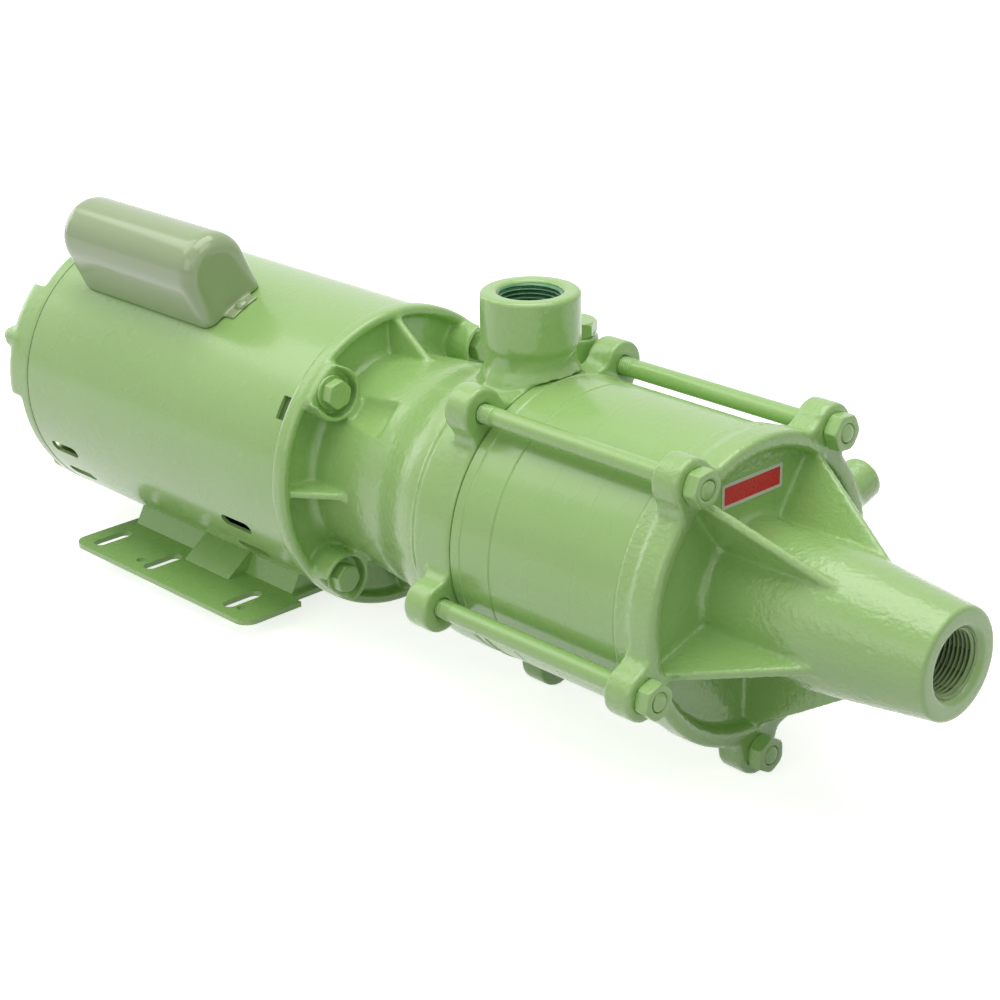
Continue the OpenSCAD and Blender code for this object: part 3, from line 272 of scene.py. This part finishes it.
def build_floor():
    mesh = bpy.data.meshes.new("floor")
    mesh.from_pydata([(x * FLOOR_HALF, y * FLOOR_HALF, floor_z)
                      for x, y in ((-1, -1), (1, -1), (1, 1), (-1, 1))], [], [(0, 1, 2, 3)])
    floor = bpy.data.objects.new("floor", mesh)
    bpy.context.scene.collection.objects.link(floor)
    material = bpy.data.materials.new("floor_white")
    material.use_nodes = True
    tree = material.node_tree
    tree.nodes.clear()
    pale = add(tree, "ShaderNodeBsdfDiffuse", Color=grey(FLOOR_BOUNCE))
    sheet = add(tree, "ShaderNodeBsdfDiffuse", Color=grey(FLOOR_COLOUR))
    glow = add(tree, "ShaderNodeEmission", Color=grey(1), Strength=FLOOR_GLOW)
    bright = tree.nodes.new("ShaderNodeAddShader")
    tree.links.new(sheet.outputs[0], bright.inputs[0])
    tree.links.new(glow.outputs[0], bright.inputs[1])
    finish_stage(tree, "ShaderNodeOutputMaterial", pale, bright)
    mesh.materials.append(material)


# ---------------------------------------------------------------- materials

def linear(r, g, b):
    """A screen colour of 0 to 255 as scene-linear RGBA."""
    def channel(c):
        c /= 255
        return c / 12.92 if c <= 0.04045 else ((c + 0.055) / 1.055) ** 2.4
    return (channel(r), channel(g), channel(b), 1.0)


def surface(name, **inputs):
    """A new material, its tree and its shader, whose named inputs are set."""
    material = bpy.data.materials.new(name)
    material.use_nodes = True
    shader = material.node_tree.nodes["Principled BSDF"]
    for key, value in inputs.items():
        shader.inputs[key.replace("_", " ")].default_value = value
    return material, material.node_tree, shader


def speckle(tree, size, detail, stretch=(1, 1, 1)):
    """Noise whose lumps are about size metres wide, in the object's own coordinates."""
    coords = tree.nodes.new("ShaderNodeTexCoord").outputs["Object"]
    mapping = add(tree, "ShaderNodeMapping", Vector=coords, Scale=stretch)
    spots = add(tree, "ShaderNodeTexNoise", Vector=mapping.outputs["Vector"],
                Scale=1 / size, Detail=detail, Roughness=0.5)
    return spots.outputs["Fac"]


def spread(tree, value, low, high, span=MOST_NOISE):
    """value, over its span, mapped to low to high."""
    ramp = add(tree, "ShaderNodeMapRange", Value=value)
    for name, number in zip(("From Min", "From Max", "To Min", "To Max"), (*span, low, high)):
        ramp.inputs[name].default_value = number
    return ramp.outputs["Result"]


def blend_colours(tree, factor, tone, shade):
    """From one screen colour to another, by factor."""
    mix = tree.nodes.new("ShaderNodeMix")
    mix.data_type = "RGBA"
    tree.links.new(factor, mix.inputs["Factor"])
    for socket, colour in zip([s for s in mix.inputs if s.type == "RGBA"], (tone, shade)):
        socket.default_value = linear(*colour)
    return next(s for s in mix.outputs if s.type == "RGBA")


def relief(tree, shader, *layers):
    """Stacks bumps of (height socket, depth in metres) on the shader."""
    normal = None
    for height, depth in layers:
        bump = add(tree, "ShaderNodeBump", Height=height, Distance=depth)
        if normal is not None:
            tree.links.new(normal, bump.inputs["Normal"])
        normal = bump.outputs["Normal"]
    tree.links.new(normal, shader.inputs["Normal"])


def enamel(name, tone, shade, gloss=(0.24, 0.3), grain=0.0, size=2.4 * MM):
    """Thick glossy paint. Its colour and its gloss, given as a range of roughness, drift slowly,
    it dries with an orange peel, and the sand grain of a casting shows through it."""
    material, tree, shader = surface(name, Coat_Weight=COAT, Coat_Roughness=COAT_ROUGHNESS)
    drift = spread(tree, speckle(tree, DRIFT_SIZE, 1), 0, 1, ALL_NOISE)
    tree.links.new(blend_colours(tree, drift, tone, shade), shader.inputs["Base Color"])
    sheen = spread(tree, speckle(tree, GLOSS_SIZE, 1), *gloss, ALL_NOISE)
    tree.links.new(sheen, shader.inputs["Roughness"])
    layers = [(speckle(tree, PEEL_SIZE, 0), PEEL_DEPTH)]
    if grain:
        layers.append((speckle(tree, size, 3), grain))
    relief(tree, shader, *layers)
    return material


def metal(name, tone, shade, gloss, brushed=(1, 1, 1), size=1.5 * MM, depth=0.01 * MM):
    """Bare metal with patches of colour and streaks, which brushed makes finer along an axis."""
    material, tree, shader = surface(name, Metallic=1.0)
    streaks = speckle(tree, size, 3, brushed)
    patches = spread(tree, speckle(tree, PATCH_SIZE, 3), 0, 1)
    tree.links.new(blend_colours(tree, patches, tone, shade), shader.inputs["Base Color"])
    tree.links.new(spread(tree, streaks, *gloss), shader.inputs["Roughness"])
    relief(tree, shader, (streaks, depth))
    return material


def plain(name, tone, shade, gloss, depth=0.02 * MM):
    """Plastic, rubber, ceramic or flat print with a fine grain."""
    material, tree, shader = surface(name)
    lumps = speckle(tree, MOULD_GRAIN, 3)
    tree.links.new(blend_colours(tree, spread(tree, lumps, 0, 1), tone, shade),
                   shader.inputs["Base Color"])
    tree.links.new(spread(tree, lumps, *gloss), shader.inputs["Roughness"])
    relief(tree, shader, (lumps, depth))
    return material


GREEN, DEEP_GREEN = (160, 199, 121), (152, 192, 112)
sheet_paint = enamel("sheet_enamel", GREEN, DEEP_GREEN)
cast_paint = enamel("cast_enamel", GREEN, DEEP_GREEN, gloss=(0.22, 0.34), grain=0.03 * MM)
rough_paint = enamel("rough_enamel", GREEN, DEEP_GREEN, gloss=(0.14, 0.3), grain=0.3 * MM,
                     size=1.5 * MM)
# Painted shade: a dark green for the end shield, seen only through the frame's window where shade
# falls
shaded_inner_paint = enamel("shaded_inner_enamel", (84, 114, 62), (70, 98, 52), gloss=(0.3, 0.5))
cover_paint = enamel("cover_enamel", (158, 179, 131), (152, 173, 125), gloss=(0.12, 0.18))
# Painted shade: darker greens for the threads inside the ports, whose bores lie in shade; the
# outlet's roots are darker still
shaded_bore_paint = enamel("shaded_bore_enamel", (84, 150, 98), (68, 132, 84), gloss=(0.2, 0.35))
bore_root_shade_paint = enamel("bore_root_shade_enamel", (40, 88, 58), (34, 76, 50), gloss=(0.3, 0.5))
shaded_throat_paint = enamel("shaded_throat_enamel", (148, 180, 112), (136, 168, 98), gloss=(0.2, 0.35))
# Painted shade: a near-black green for the roots of the inlet's thread and the lines at the
# frame's joints
shade_paint = enamel("painted_shade_enamel", (62, 70, 38), (52, 60, 32), gloss=(0.4, 0.6))
slot_looks = {
    "green_paint": sheet_paint,
    "cover_paint": cover_paint,
    "machined_steel": metal("turned_steel", (178, 180, 184), (160, 162, 166), (0.22, 0.42),
                            (0.2, 1, 1), 0.6 * MM),
    "laminated_iron": metal("laminated_iron", (108, 107, 110), (84, 83, 86), (0.4, 0.6),
                            (8, 1, 1), 2 * MM, 0.04 * MM),
    "copper_winding": metal("varnished_copper", (176, 98, 52), (140, 72, 36), (0.25, 0.45),
                            (1, 6, 6), 3 * MM, 0.15 * MM),
    "cast_bronze": metal("cast_bronze", (190, 152, 92), (168, 130, 74), (0.35, 0.55),
                         depth=0.04 * MM),
    "cast_alloy": metal("cast_alloy", (196, 198, 202), (176, 178, 182), (0.38, 0.58),
                        depth=0.04 * MM),
    "dark_plastic": plain("dark_plastic", (34, 34, 37), (26, 26, 28), (0.42, 0.6)),
    "black_rubber": plain("black_rubber", (24, 24, 25), (17, 17, 18), (0.6, 0.8)),
    "seat_ceramic": plain("seat_ceramic", (228, 222, 206), (216, 209, 192), (0.15, 0.3)),
}
# Nodes that look other than their slot
node_looks = {name: cast_paint for name in (
    "discharge_bracket", "suction_cover", "rear_end_bell",
    "stage_casing_1", "stage_casing_2", "stage_casing_3", "stage_casing_4")}
# The end shield takes the painted shade of the recess behind the frame's window
node_looks["front_end_shield"] = shaded_inner_paint
node_looks["capacitor_cover_screws"] = cover_paint


# ---------------------------------------------------------------- mesh building

def along_shaft(x, radius, angle):
    """A point from its place on the shaft, its radius and its angle from +Y towards +Z."""
    return (x, radius * math.cos(angle), shaft_z + radius * math.sin(angle))


def ring_mesh(name, rows, capped):
    """A mesh from rows of points, each row a closed loop. Both ends are capped, or else the last
    row joins the first."""
    rows = np.asarray(rows, float)
    count, across = rows.shape[:2]
    faces = []
    for i in range(count - 1 if capped else count):
        for j in range(across):
            a, b = i * across, (i + 1) % count * across
            k = (j + 1) % across
            faces.append((a + j, a + k, b + k, b + j))
    if capped:
        faces.append(tuple(range(across)))
        faces.append(tuple((count - 1) * across + j for j in range(across)))
    mesh = bpy.data.meshes.new(name)
    mesh.from_pydata([tuple(p) for p in rows.reshape(-1, 3)], [], faces)
    outward(mesh)
    return mesh


def outward(mesh):
    """Turns the faces of a closed mesh to the outside."""
    shape = bmesh.new()
    shape.from_mesh(mesh)
    bmesh.ops.recalc_face_normals(shape, faces=shape.faces)
    shape.to_mesh(mesh)
    shape.free()


def smooth_by_angle(mesh, degrees):
    mesh.shade_smooth()
    mesh.set_sharp_from_angle(angle=math.radians(degrees))


def show(name, mesh, body, slot, *materials):
    """Puts the mesh in the scene as a piece that rides on body."""
    piece = bpy.data.objects.new(name, mesh)
    bpy.context.scene.collection.objects.link(piece)
    for material in materials:
        mesh.materials.append(material)
    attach(piece, body)
    return piece


def joined(name, meshes):
    """One mesh of several, which themselves stay as they are."""
    shape = bmesh.new()
    for mesh in meshes:
        shape.from_mesh(mesh)
    result = bpy.data.meshes.new(name)
    shape.to_mesh(result)
    shape.free()
    return result


def tooth(phase):
    """Height of a rounded V thread, 0 at its root and 1 at its crest, over one turn."""
    wave = math.sin(2 * math.pi * phase)
    return 0.5 + 0.5 * wave * (1.25 - 0.25 * wave ** 2)


# ---------------------------------------------------------------- castings

def relax(points, edges, free, rounds):
    """Each point moves halfway to the middle of its neighbours, by as much as free lets it."""
    count = len(points)
    degree = np.bincount(edges.ravel(), minlength=count)[:, None]
    for _ in range(rounds):
        total = np.empty_like(points)
        for k in range(3):
            total[:, k] = (np.bincount(edges[:, 0], points[edges[:, 1], k], count)
                           + np.bincount(edges[:, 1], points[edges[:, 0], k], count))
        points = points + (total / degree - points) * 0.5 * free[:, None]
    return points


def worked(mesh, *steps):
    """The mesh after a weld of its loose corners and modifiers, each a kind and its settings."""
    blank = bpy.data.objects.new("blank", mesh)
    bpy.context.scene.collection.objects.link(blank)
    for kind, settings in (("WELD", {"merge_threshold": 0.001 * MM}), *steps):
        modifier = blank.modifiers.new(kind.lower(), kind)
        for name, value in settings.items():
            setattr(modifier, name, value)
    bpy.context.view_layer.update()
    ready = blank.evaluated_get(bpy.context.evaluated_depsgraph_get())
    result = bpy.data.meshes.new_from_object(ready)
    bpy.data.objects.remove(blank)
    result.materials.clear()
    return result


def soft_twin(node, prefix, look, softness, grain=0.0, machined=None, source=None):
    """A node's own shape, or source in its place, with soft edges. Filling the solid with voxels
    and smoothing it gives every corner the fillet that the mould, the press or the paint leaves.
    machined gives for each point from 0, as cast, to 1, cut crisp. grain is the height of the
    sand's print."""
    voxel, rounds = softness
    source = source or joined(node, [nodes[node].data])
    mesh = worked(source, ("REMESH", {"mode": "VOXEL", "voxel_size": voxel}))
    count = len(mesh.vertices)
    points = np.empty(count * 3)
    mesh.vertices.foreach_get("co", points)
    points = points.reshape(-1, 3)
    edges = np.empty(len(mesh.edges) * 2, int)
    mesh.edges.foreach_get("vertices", edges)
    held = machined(points) if machined else np.zeros(count)
    points = relax(points, edges.reshape(-1, 2), 1 - CRISP * held, rounds)
    mesh.vertices.foreach_set("co", points.ravel())
    mesh.update()
    if grain:
        normals = np.empty(count * 3)
        mesh.vertex_normals.foreach_get("vector", normals)
        lumps = np.array([noise.fractal(Vector(p) / GRAIN_WIDTH, 1.0, 2.0, 2) for p in points])
        points = points + normals.reshape(-1, 3) * (lumps * grain * (1 - held))[:, None]
        mesh.vertices.foreach_set("co", points.ravel())
        mesh.update()
    mesh.shade_smooth()
    piece = show(prefix + node, mesh, body_of_node[node], slot_of_node[node], look)
    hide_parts(node)
    return piece


def near(values, place, reach):
    """1 up to 3/8 of reach from place, falling to 0 at reach."""
    return np.clip(1.6 - 1.6 * np.abs(values - place) / reach, 0, 1)


def nose_radius(x):
    """Radius of the cover's outside at x: a straight barrel, then the tapered nose."""
    past = x - (COVER_LEN - (BARREL_R - NOSE_R) / NOSE_TAPER)
    if past < -NOSE_BLEND:
        return BARREL_R
    if past > NOSE_BLEND:
        return BARREL_R - NOSE_TAPER * past
    return BARREL_R - NOSE_TAPER * (past + NOSE_BLEND) ** 2 / (4 * NOSE_BLEND)


def revolved(name, outline, x0, capped, across=120):
    """A ring or a solid from an outline of (place along the shaft, radius)."""
    angles = [2 * math.pi * j / across for j in range(across)]
    return ring_mesh(name, [[along_shaft(x0 + x, r, a) for a in angles] for x, r in outline],
                     capped)


def cut_flange(x0, floor):
    """The cover's own solid without what stands before the floor of its recess."""
    inner, outer = PAN_R - 2 * MM, PAN_R + 9 * MM
    rim = COVER_DEPTH + 1.2 * MM
    knife = bpy.data.objects.new("knife", revolved(
        "knife", [(floor, inner), (rim, inner), (rim, outer), (COVER_LEN + 20 * MM, outer)],
        x0, capped=True))
    bpy.context.scene.collection.objects.link(knife)
    flange = worked(joined("flange", [nodes["suction_cover"].data]),
                    ("BOOLEAN", {"operation": "DIFFERENCE", "solver": "EXACT", "object": knife}))
    bpy.data.objects.remove(knife)
    return flange


def barrel_tube(x0, floor):
    """The barrel and the nose, open all through: outside first, then back along the passage."""
    back = floor - COVER_WALL
    end, inner = COVER_LEN - THREAD_LEN, BARREL_R - COVER_WALL - 1 * MM
    outline = [(back, PAN_R - 5 * MM), (floor, PAN_R - 5 * MM)]
    # Fillet at the root of the barrel
    for i in range(6):
        a = math.radians(90 * i / 5)
        outline.append((floor + BARREL_FILLET * (1 - math.cos(a)),
                        BARREL_R + BARREL_FILLET * (1 - math.sin(a))))
    # Barrel and nose
    outline += [(x, nose_radius(x)) for x in np.linspace(floor + BARREL_FILLET + 4 * MM,
                                                         COVER_LEN - 1.2 * MM, 24)]
    # Face, countersink, bore of the thread, and the passage that widens towards the stages
    outline += [(COVER_LEN, NOSE_R - 1.2 * MM), (COVER_LEN, THREAD_R + INLET_MOUTH),
                (COVER_LEN - INLET_MOUTH, THREAD_R), (end, THREAD_R), (end, PORT_BORE_R),
                (end - 8 * MM, PORT_BORE_R)]
    outline += [(x, max(PORT_BORE_R, nose_radius(x) - COVER_WALL - 1 * MM))
                for x in np.linspace(end - 10 * MM, floor + 3 * MM, 8)]
    outline += [(back + 3 * MM, inner + 2 * MM), (back, inner + 7 * MM)]
    return revolved("barrel", outline, x0, capped=False)


def cover_webs(x0, floor):
    """The five webs, from the rim of the recess down to the barrel."""
    root, tip = floor - 2 * MM, nose_radius(WEB_END)
    side = [(BARREL_R - 3 * MM, root), (PAN_R + 2 * MM, root),
            (PAN_R + 2 * MM, COVER_DEPTH - 1 * MM), (PAN_R - 1 * MM, COVER_DEPTH + 1 * MM),
            (tip + 0.5 * MM, WEB_END), (tip - 3 * MM, WEB_END)]
    webs = []
    for degrees in ROD_ANGLES:
        a = math.radians(degrees)
        webs.append(ring_mesh("web", [
            [(x0 + x, r * math.cos(a) - t * math.sin(a),
              shaft_z + r * math.sin(a) + t * math.cos(a)) for r, x in side]
            for t in (-WEB_T / 2, WEB_T / 2)], capped=True))
    return webs


def barrelled_cover():
    """The suction cover with its cone cut away down to the floor of the recess, and the barrel
    and the webs in its place."""
    x0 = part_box("suction_cover")[1].x - COVER_LEN
    floor = COVER_DEPTH - PAN_DEPTH
    return joined("suction_cover",
                  [cut_flange(x0, floor), barrel_tube(x0, floor), *cover_webs(x0, floor)])


def build_castings():
    nose_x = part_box("suction_cover")[1].x
    front_x, _, outlet_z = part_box("discharge_bracket")[1]
    soft_twin("suction_cover", "cast_", rough_paint, CASTING, ROUGH_GRAIN_HEIGHT,
              lambda p: near(p[:, 0], nose_x, PORT_CRISP), barrelled_cover())
    soft_twin("discharge_bracket", "cast_", cast_paint, CASTING, GRAIN_HEIGHT,
              lambda p: np.maximum(near(p[:, 2], outlet_z, PORT_CRISP),
                                   near(p[:, 0], front_x, FRONT_CRISP)))
    soft_twin("rear_end_bell", "cast_", cast_paint, CASTING, GRAIN_HEIGHT)
    soft_twin("capacitor_cover", "pressed_", cover_paint, PRESSING)
    for node in ("tie_rod_nuts", "bracket_bolts", "bracket_bolt_washers"):
        soft_twin(node, "painted_", sheet_paint, FASTENER)


# ---------------------------------------------------------------- threads, rods and plate

def threaded_bore(name, mount, node, mouth, paint, root_shade_paint):
    """A closed sleeve on a port's bore, which carries the helical thread inside."""
    radius = mount["dims"]["r_mm"] * MM
    length = THREAD_LEN - mouth
    axis, on_axis = Vector(mount["axis"]), Vector(mount["pos_m"])
    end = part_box(node)[1]
    bottom = on_axis + axis * ((end - on_axis).dot(axis) - THREAD_LEN)
    side = Vector((0, 1, 0))
    other = axis.cross(side)
    across, per_turn = 96, 10

    def point(s, j, r):
        angle = 2 * math.pi * j / across
        return tuple(bottom + axis * s + (side * math.cos(angle) + other * math.sin(angle)) * r)

    rows = []
    steps = int(length / PORT_PITCH * per_turn)
    for i in range(steps + 1):
        s = length * i / steps
        fade = max(0, min(1, s / PORT_PITCH, (length - s) / (THREAD_FADE * PORT_PITCH)))
        rows.append([])
        for j in range(across):
            height = tooth(s / PORT_PITCH - j / across) * PORT_THREAD_DEPTH * fade
            rows[-1].append(point(s, j, radius - THREAD_INSET - height))
    for s in (length, 0):
        rows.append([point(s, j, radius + SLEEVE_SUNK) for j in range(across)])
    mesh = ring_mesh(name, rows, capped=False)
    for face in mesh.polygons:
        along = (face.center - bottom).dot(axis)
        off = (face.center - bottom - axis * along).length
        # Faces deep in the thread's roots take the second material, painted shade
        if (along < length - PORT_PITCH
                and off > radius - THREAD_INSET - ROOT_SHARE * PORT_THREAD_DEPTH):
            face.material_index = 1
    smooth_by_angle(mesh, 60)
    show(name, mesh, "pump", "green_paint", paint, root_shade_paint)


def threaded_rods():
    low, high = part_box("tie_rods")
    across, per_turn = 32, 8
    rear_end, nut_end = low.x + ROD_THREAD_SHOWN, high.x - ROD_NUT_END
    rows = [(low.x + d * MM, ROD_R - loss * MM) for d, loss in ROD_REAR_STEPS]
    rows += [(x, None) for x in (*np.arange(low.x + ROD_ROUND, rear_end, ROD_PITCH / per_turn),
                                 *np.linspace(rear_end, nut_end, 12)[:-1],
                                 *np.arange(nut_end, high.x - ROD_ROUND, ROD_PITCH / per_turn))]
    rows += [(high.x - d * MM, ROD_R - loss * MM) for d, loss in ROD_NUT_STEPS]
    rods = []
    for rod, degrees in enumerate(ROD_ANGLES):
        _, centre_y, centre_z = along_shaft(0, ROD_CIRCLE_R, math.radians(degrees))
        loops = []
        for x, fixed in rows:
            loop = []
            from_end = min(x - low.x, high.x - x)
            cut = min(1, max(0, (ROD_THREAD_SHOWN - from_end) / ROD_PITCH)) * ROD_THREAD_DEPTH
            for j in range(across):
                turn = 2 * math.pi * j / across
                depth = (1 - tooth(x / ROD_PITCH - j / across + rod * ROD_TURN)) * cut
                r = fixed if fixed is not None else ROD_R - depth
                loop.append((x, centre_y + r * math.cos(turn), centre_z + r * math.sin(turn)))
            loops.append(loop)
        rods.append(ring_mesh("rod", loops, capped=True))
    mesh = joined("threaded_tie_rods", rods)
    smooth_by_angle(mesh, 50)
    piece = show("threaded_tie_rods", mesh, "pump", "green_paint", sheet_paint)
    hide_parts("tie_rods")


def paint_beads():
    """The paint in the joints of the stages. It fills them above, and below, where it has run
    off, it leaves a line open."""
    casing_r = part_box("stage_casing_1")[1].y
    across = 144
    angles = [2 * math.pi * j / across for j in range(across)]
    beads = []
    for node, step, openness, depth in JOINTS:
        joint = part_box(node)[1].x
        rows = []
        for t in (-1, -0.7, -0.35, 0, 0.35, 0.7, 1):
            skin = casing_r - BEAD_BELOW + step * (1 - t) / 2
            row = []
            for a in angles:
                bare = min(1, max(JOINT_LEAST, openness - JOINT_SAG * math.sin(a)))
                row.append(along_shaft(joint + t * JOINT_HALF_W,
                                       skin - depth * bare * (1 - t * t), a))
            rows.append(row)
        rows.append([along_shaft(joint, casing_r - BEAD_REACH, a) for a in angles])
        beads.append(ring_mesh("bead", rows, capped=False))
    mesh = joined("joint_paint", beads)
    smooth_by_angle(mesh, 60)
    show("joint_paint", mesh, "pump", "green_paint", cast_paint)


def frame_seam_shade():
    """A thin ring of painted shade where the rolled frame meets each end, for the shadow in the
    joint.
    """
    low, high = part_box("motor_frame")
    radius, half = (high.y - low.y) / 2, SEAM_W / 2
    profile = [(-half, radius + SEAM_FOOT), (-half, radius + SEAM_EDGE),
               (0, radius + SEAM_MIDDLE), (half, radius + SEAM_EDGE), (half, radius + SEAM_FOOT)]
    lines = [revolved("line", profile, x, capped=False, across=180)
             for x in (low.x + half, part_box("discharge_bracket")[0].x - half)]
    show("frame_seam_shade", joined("frame_seam_shade", lines), "pump", "green_paint", shade_paint)


def rounded_rectangle(width, height, radius, per_corner=6):
    points = []
    for corner in range(4):
        cy = (width / 2 - radius) * (1, -1, -1, 1)[corner]
        cz = (height / 2 - radius) * (1, 1, -1, -1)[corner]
        for i in range(per_corner + 1):
            a = math.radians(90 * corner + 90 * i / per_corner)
            points.append((cy + radius * math.cos(a), cz + radius * math.sin(a)))
    return points


def bare_plate():
    """The plate in the cover's recess: a bright border round a bare red field, pressed in a
    little. Each loop has a width, a height, a corner radius and its rise over the floor."""
    pan_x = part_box("tie_rod_nuts")[0].x - PAN_DEPTH
    inner_w, inner_h = BARE_W - 2 * BARE_BORDER, BARE_H - 2 * BARE_BORDER
    loops = [(BARE_W, BARE_H, 1.2 * MM, -0.2 * MM),
             (BARE_W, BARE_H, 1.2 * MM, BARE_T - 0.1 * MM),
             (BARE_W - 0.2 * MM, BARE_H - 0.2 * MM, 1.1 * MM, BARE_T),
             (inner_w, inner_h, 0.5 * MM, BARE_T),
             (inner_w - 0.15 * MM, inner_h - 0.15 * MM, 0.45 * MM, BARE_T - 0.08 * MM)]
    rows = [[(pan_x + rise, BARE_Y + y, shaft_z + BARE_RISE + z)
             for y, z in rounded_rectangle(w, h, r)] for w, h, r, rise in loops]
    mesh = ring_mesh("bare_plate", rows, capped=True)
    for face in mesh.polygons:
        if len(face.vertices) > 4 and face.center.x > pan_x:
            face.material_index = 1
    smooth_by_angle(mesh, 30)
    silver = plain("plate_silver", (222, 221, 217), (212, 211, 207), (0.22, 0.34), 0.004 * MM)
    red = plain("plate_red", (230, 34, 62), (222, 30, 56), (0.25, 0.35), 0.006 * MM)
    show("bare_plate", mesh, "pump", "green_paint", silver, red)


# ---------------------------------------------------------------- CAD nodes that stay

def dress_node(name):
    node = nodes[name]
    look = node_looks.get(name) or slot_looks[slot_of_node[name]]
    node.data.materials.clear()
    node.data.materials.append(look)


place_camera()
build_room()
for lamp in LAMPS:
    area_light(*lamp)
build_floor()
for name in nodes:
    dress_node(name)
build_castings()
threaded_bore("inlet_thread", mounts["suction_port"], "suction_cover", INLET_MOUTH,
              shaded_throat_paint, shade_paint)
threaded_bore("outlet_thread", mounts["discharge_port"], "discharge_bracket", OUTLET_MOUTH,
              shaded_bore_paint, bore_root_shade_paint)
threaded_rods()
paint_beads()
frame_seam_shade()
bare_plate()

bpy.context.scene.view_settings.view_transform = "Standard"
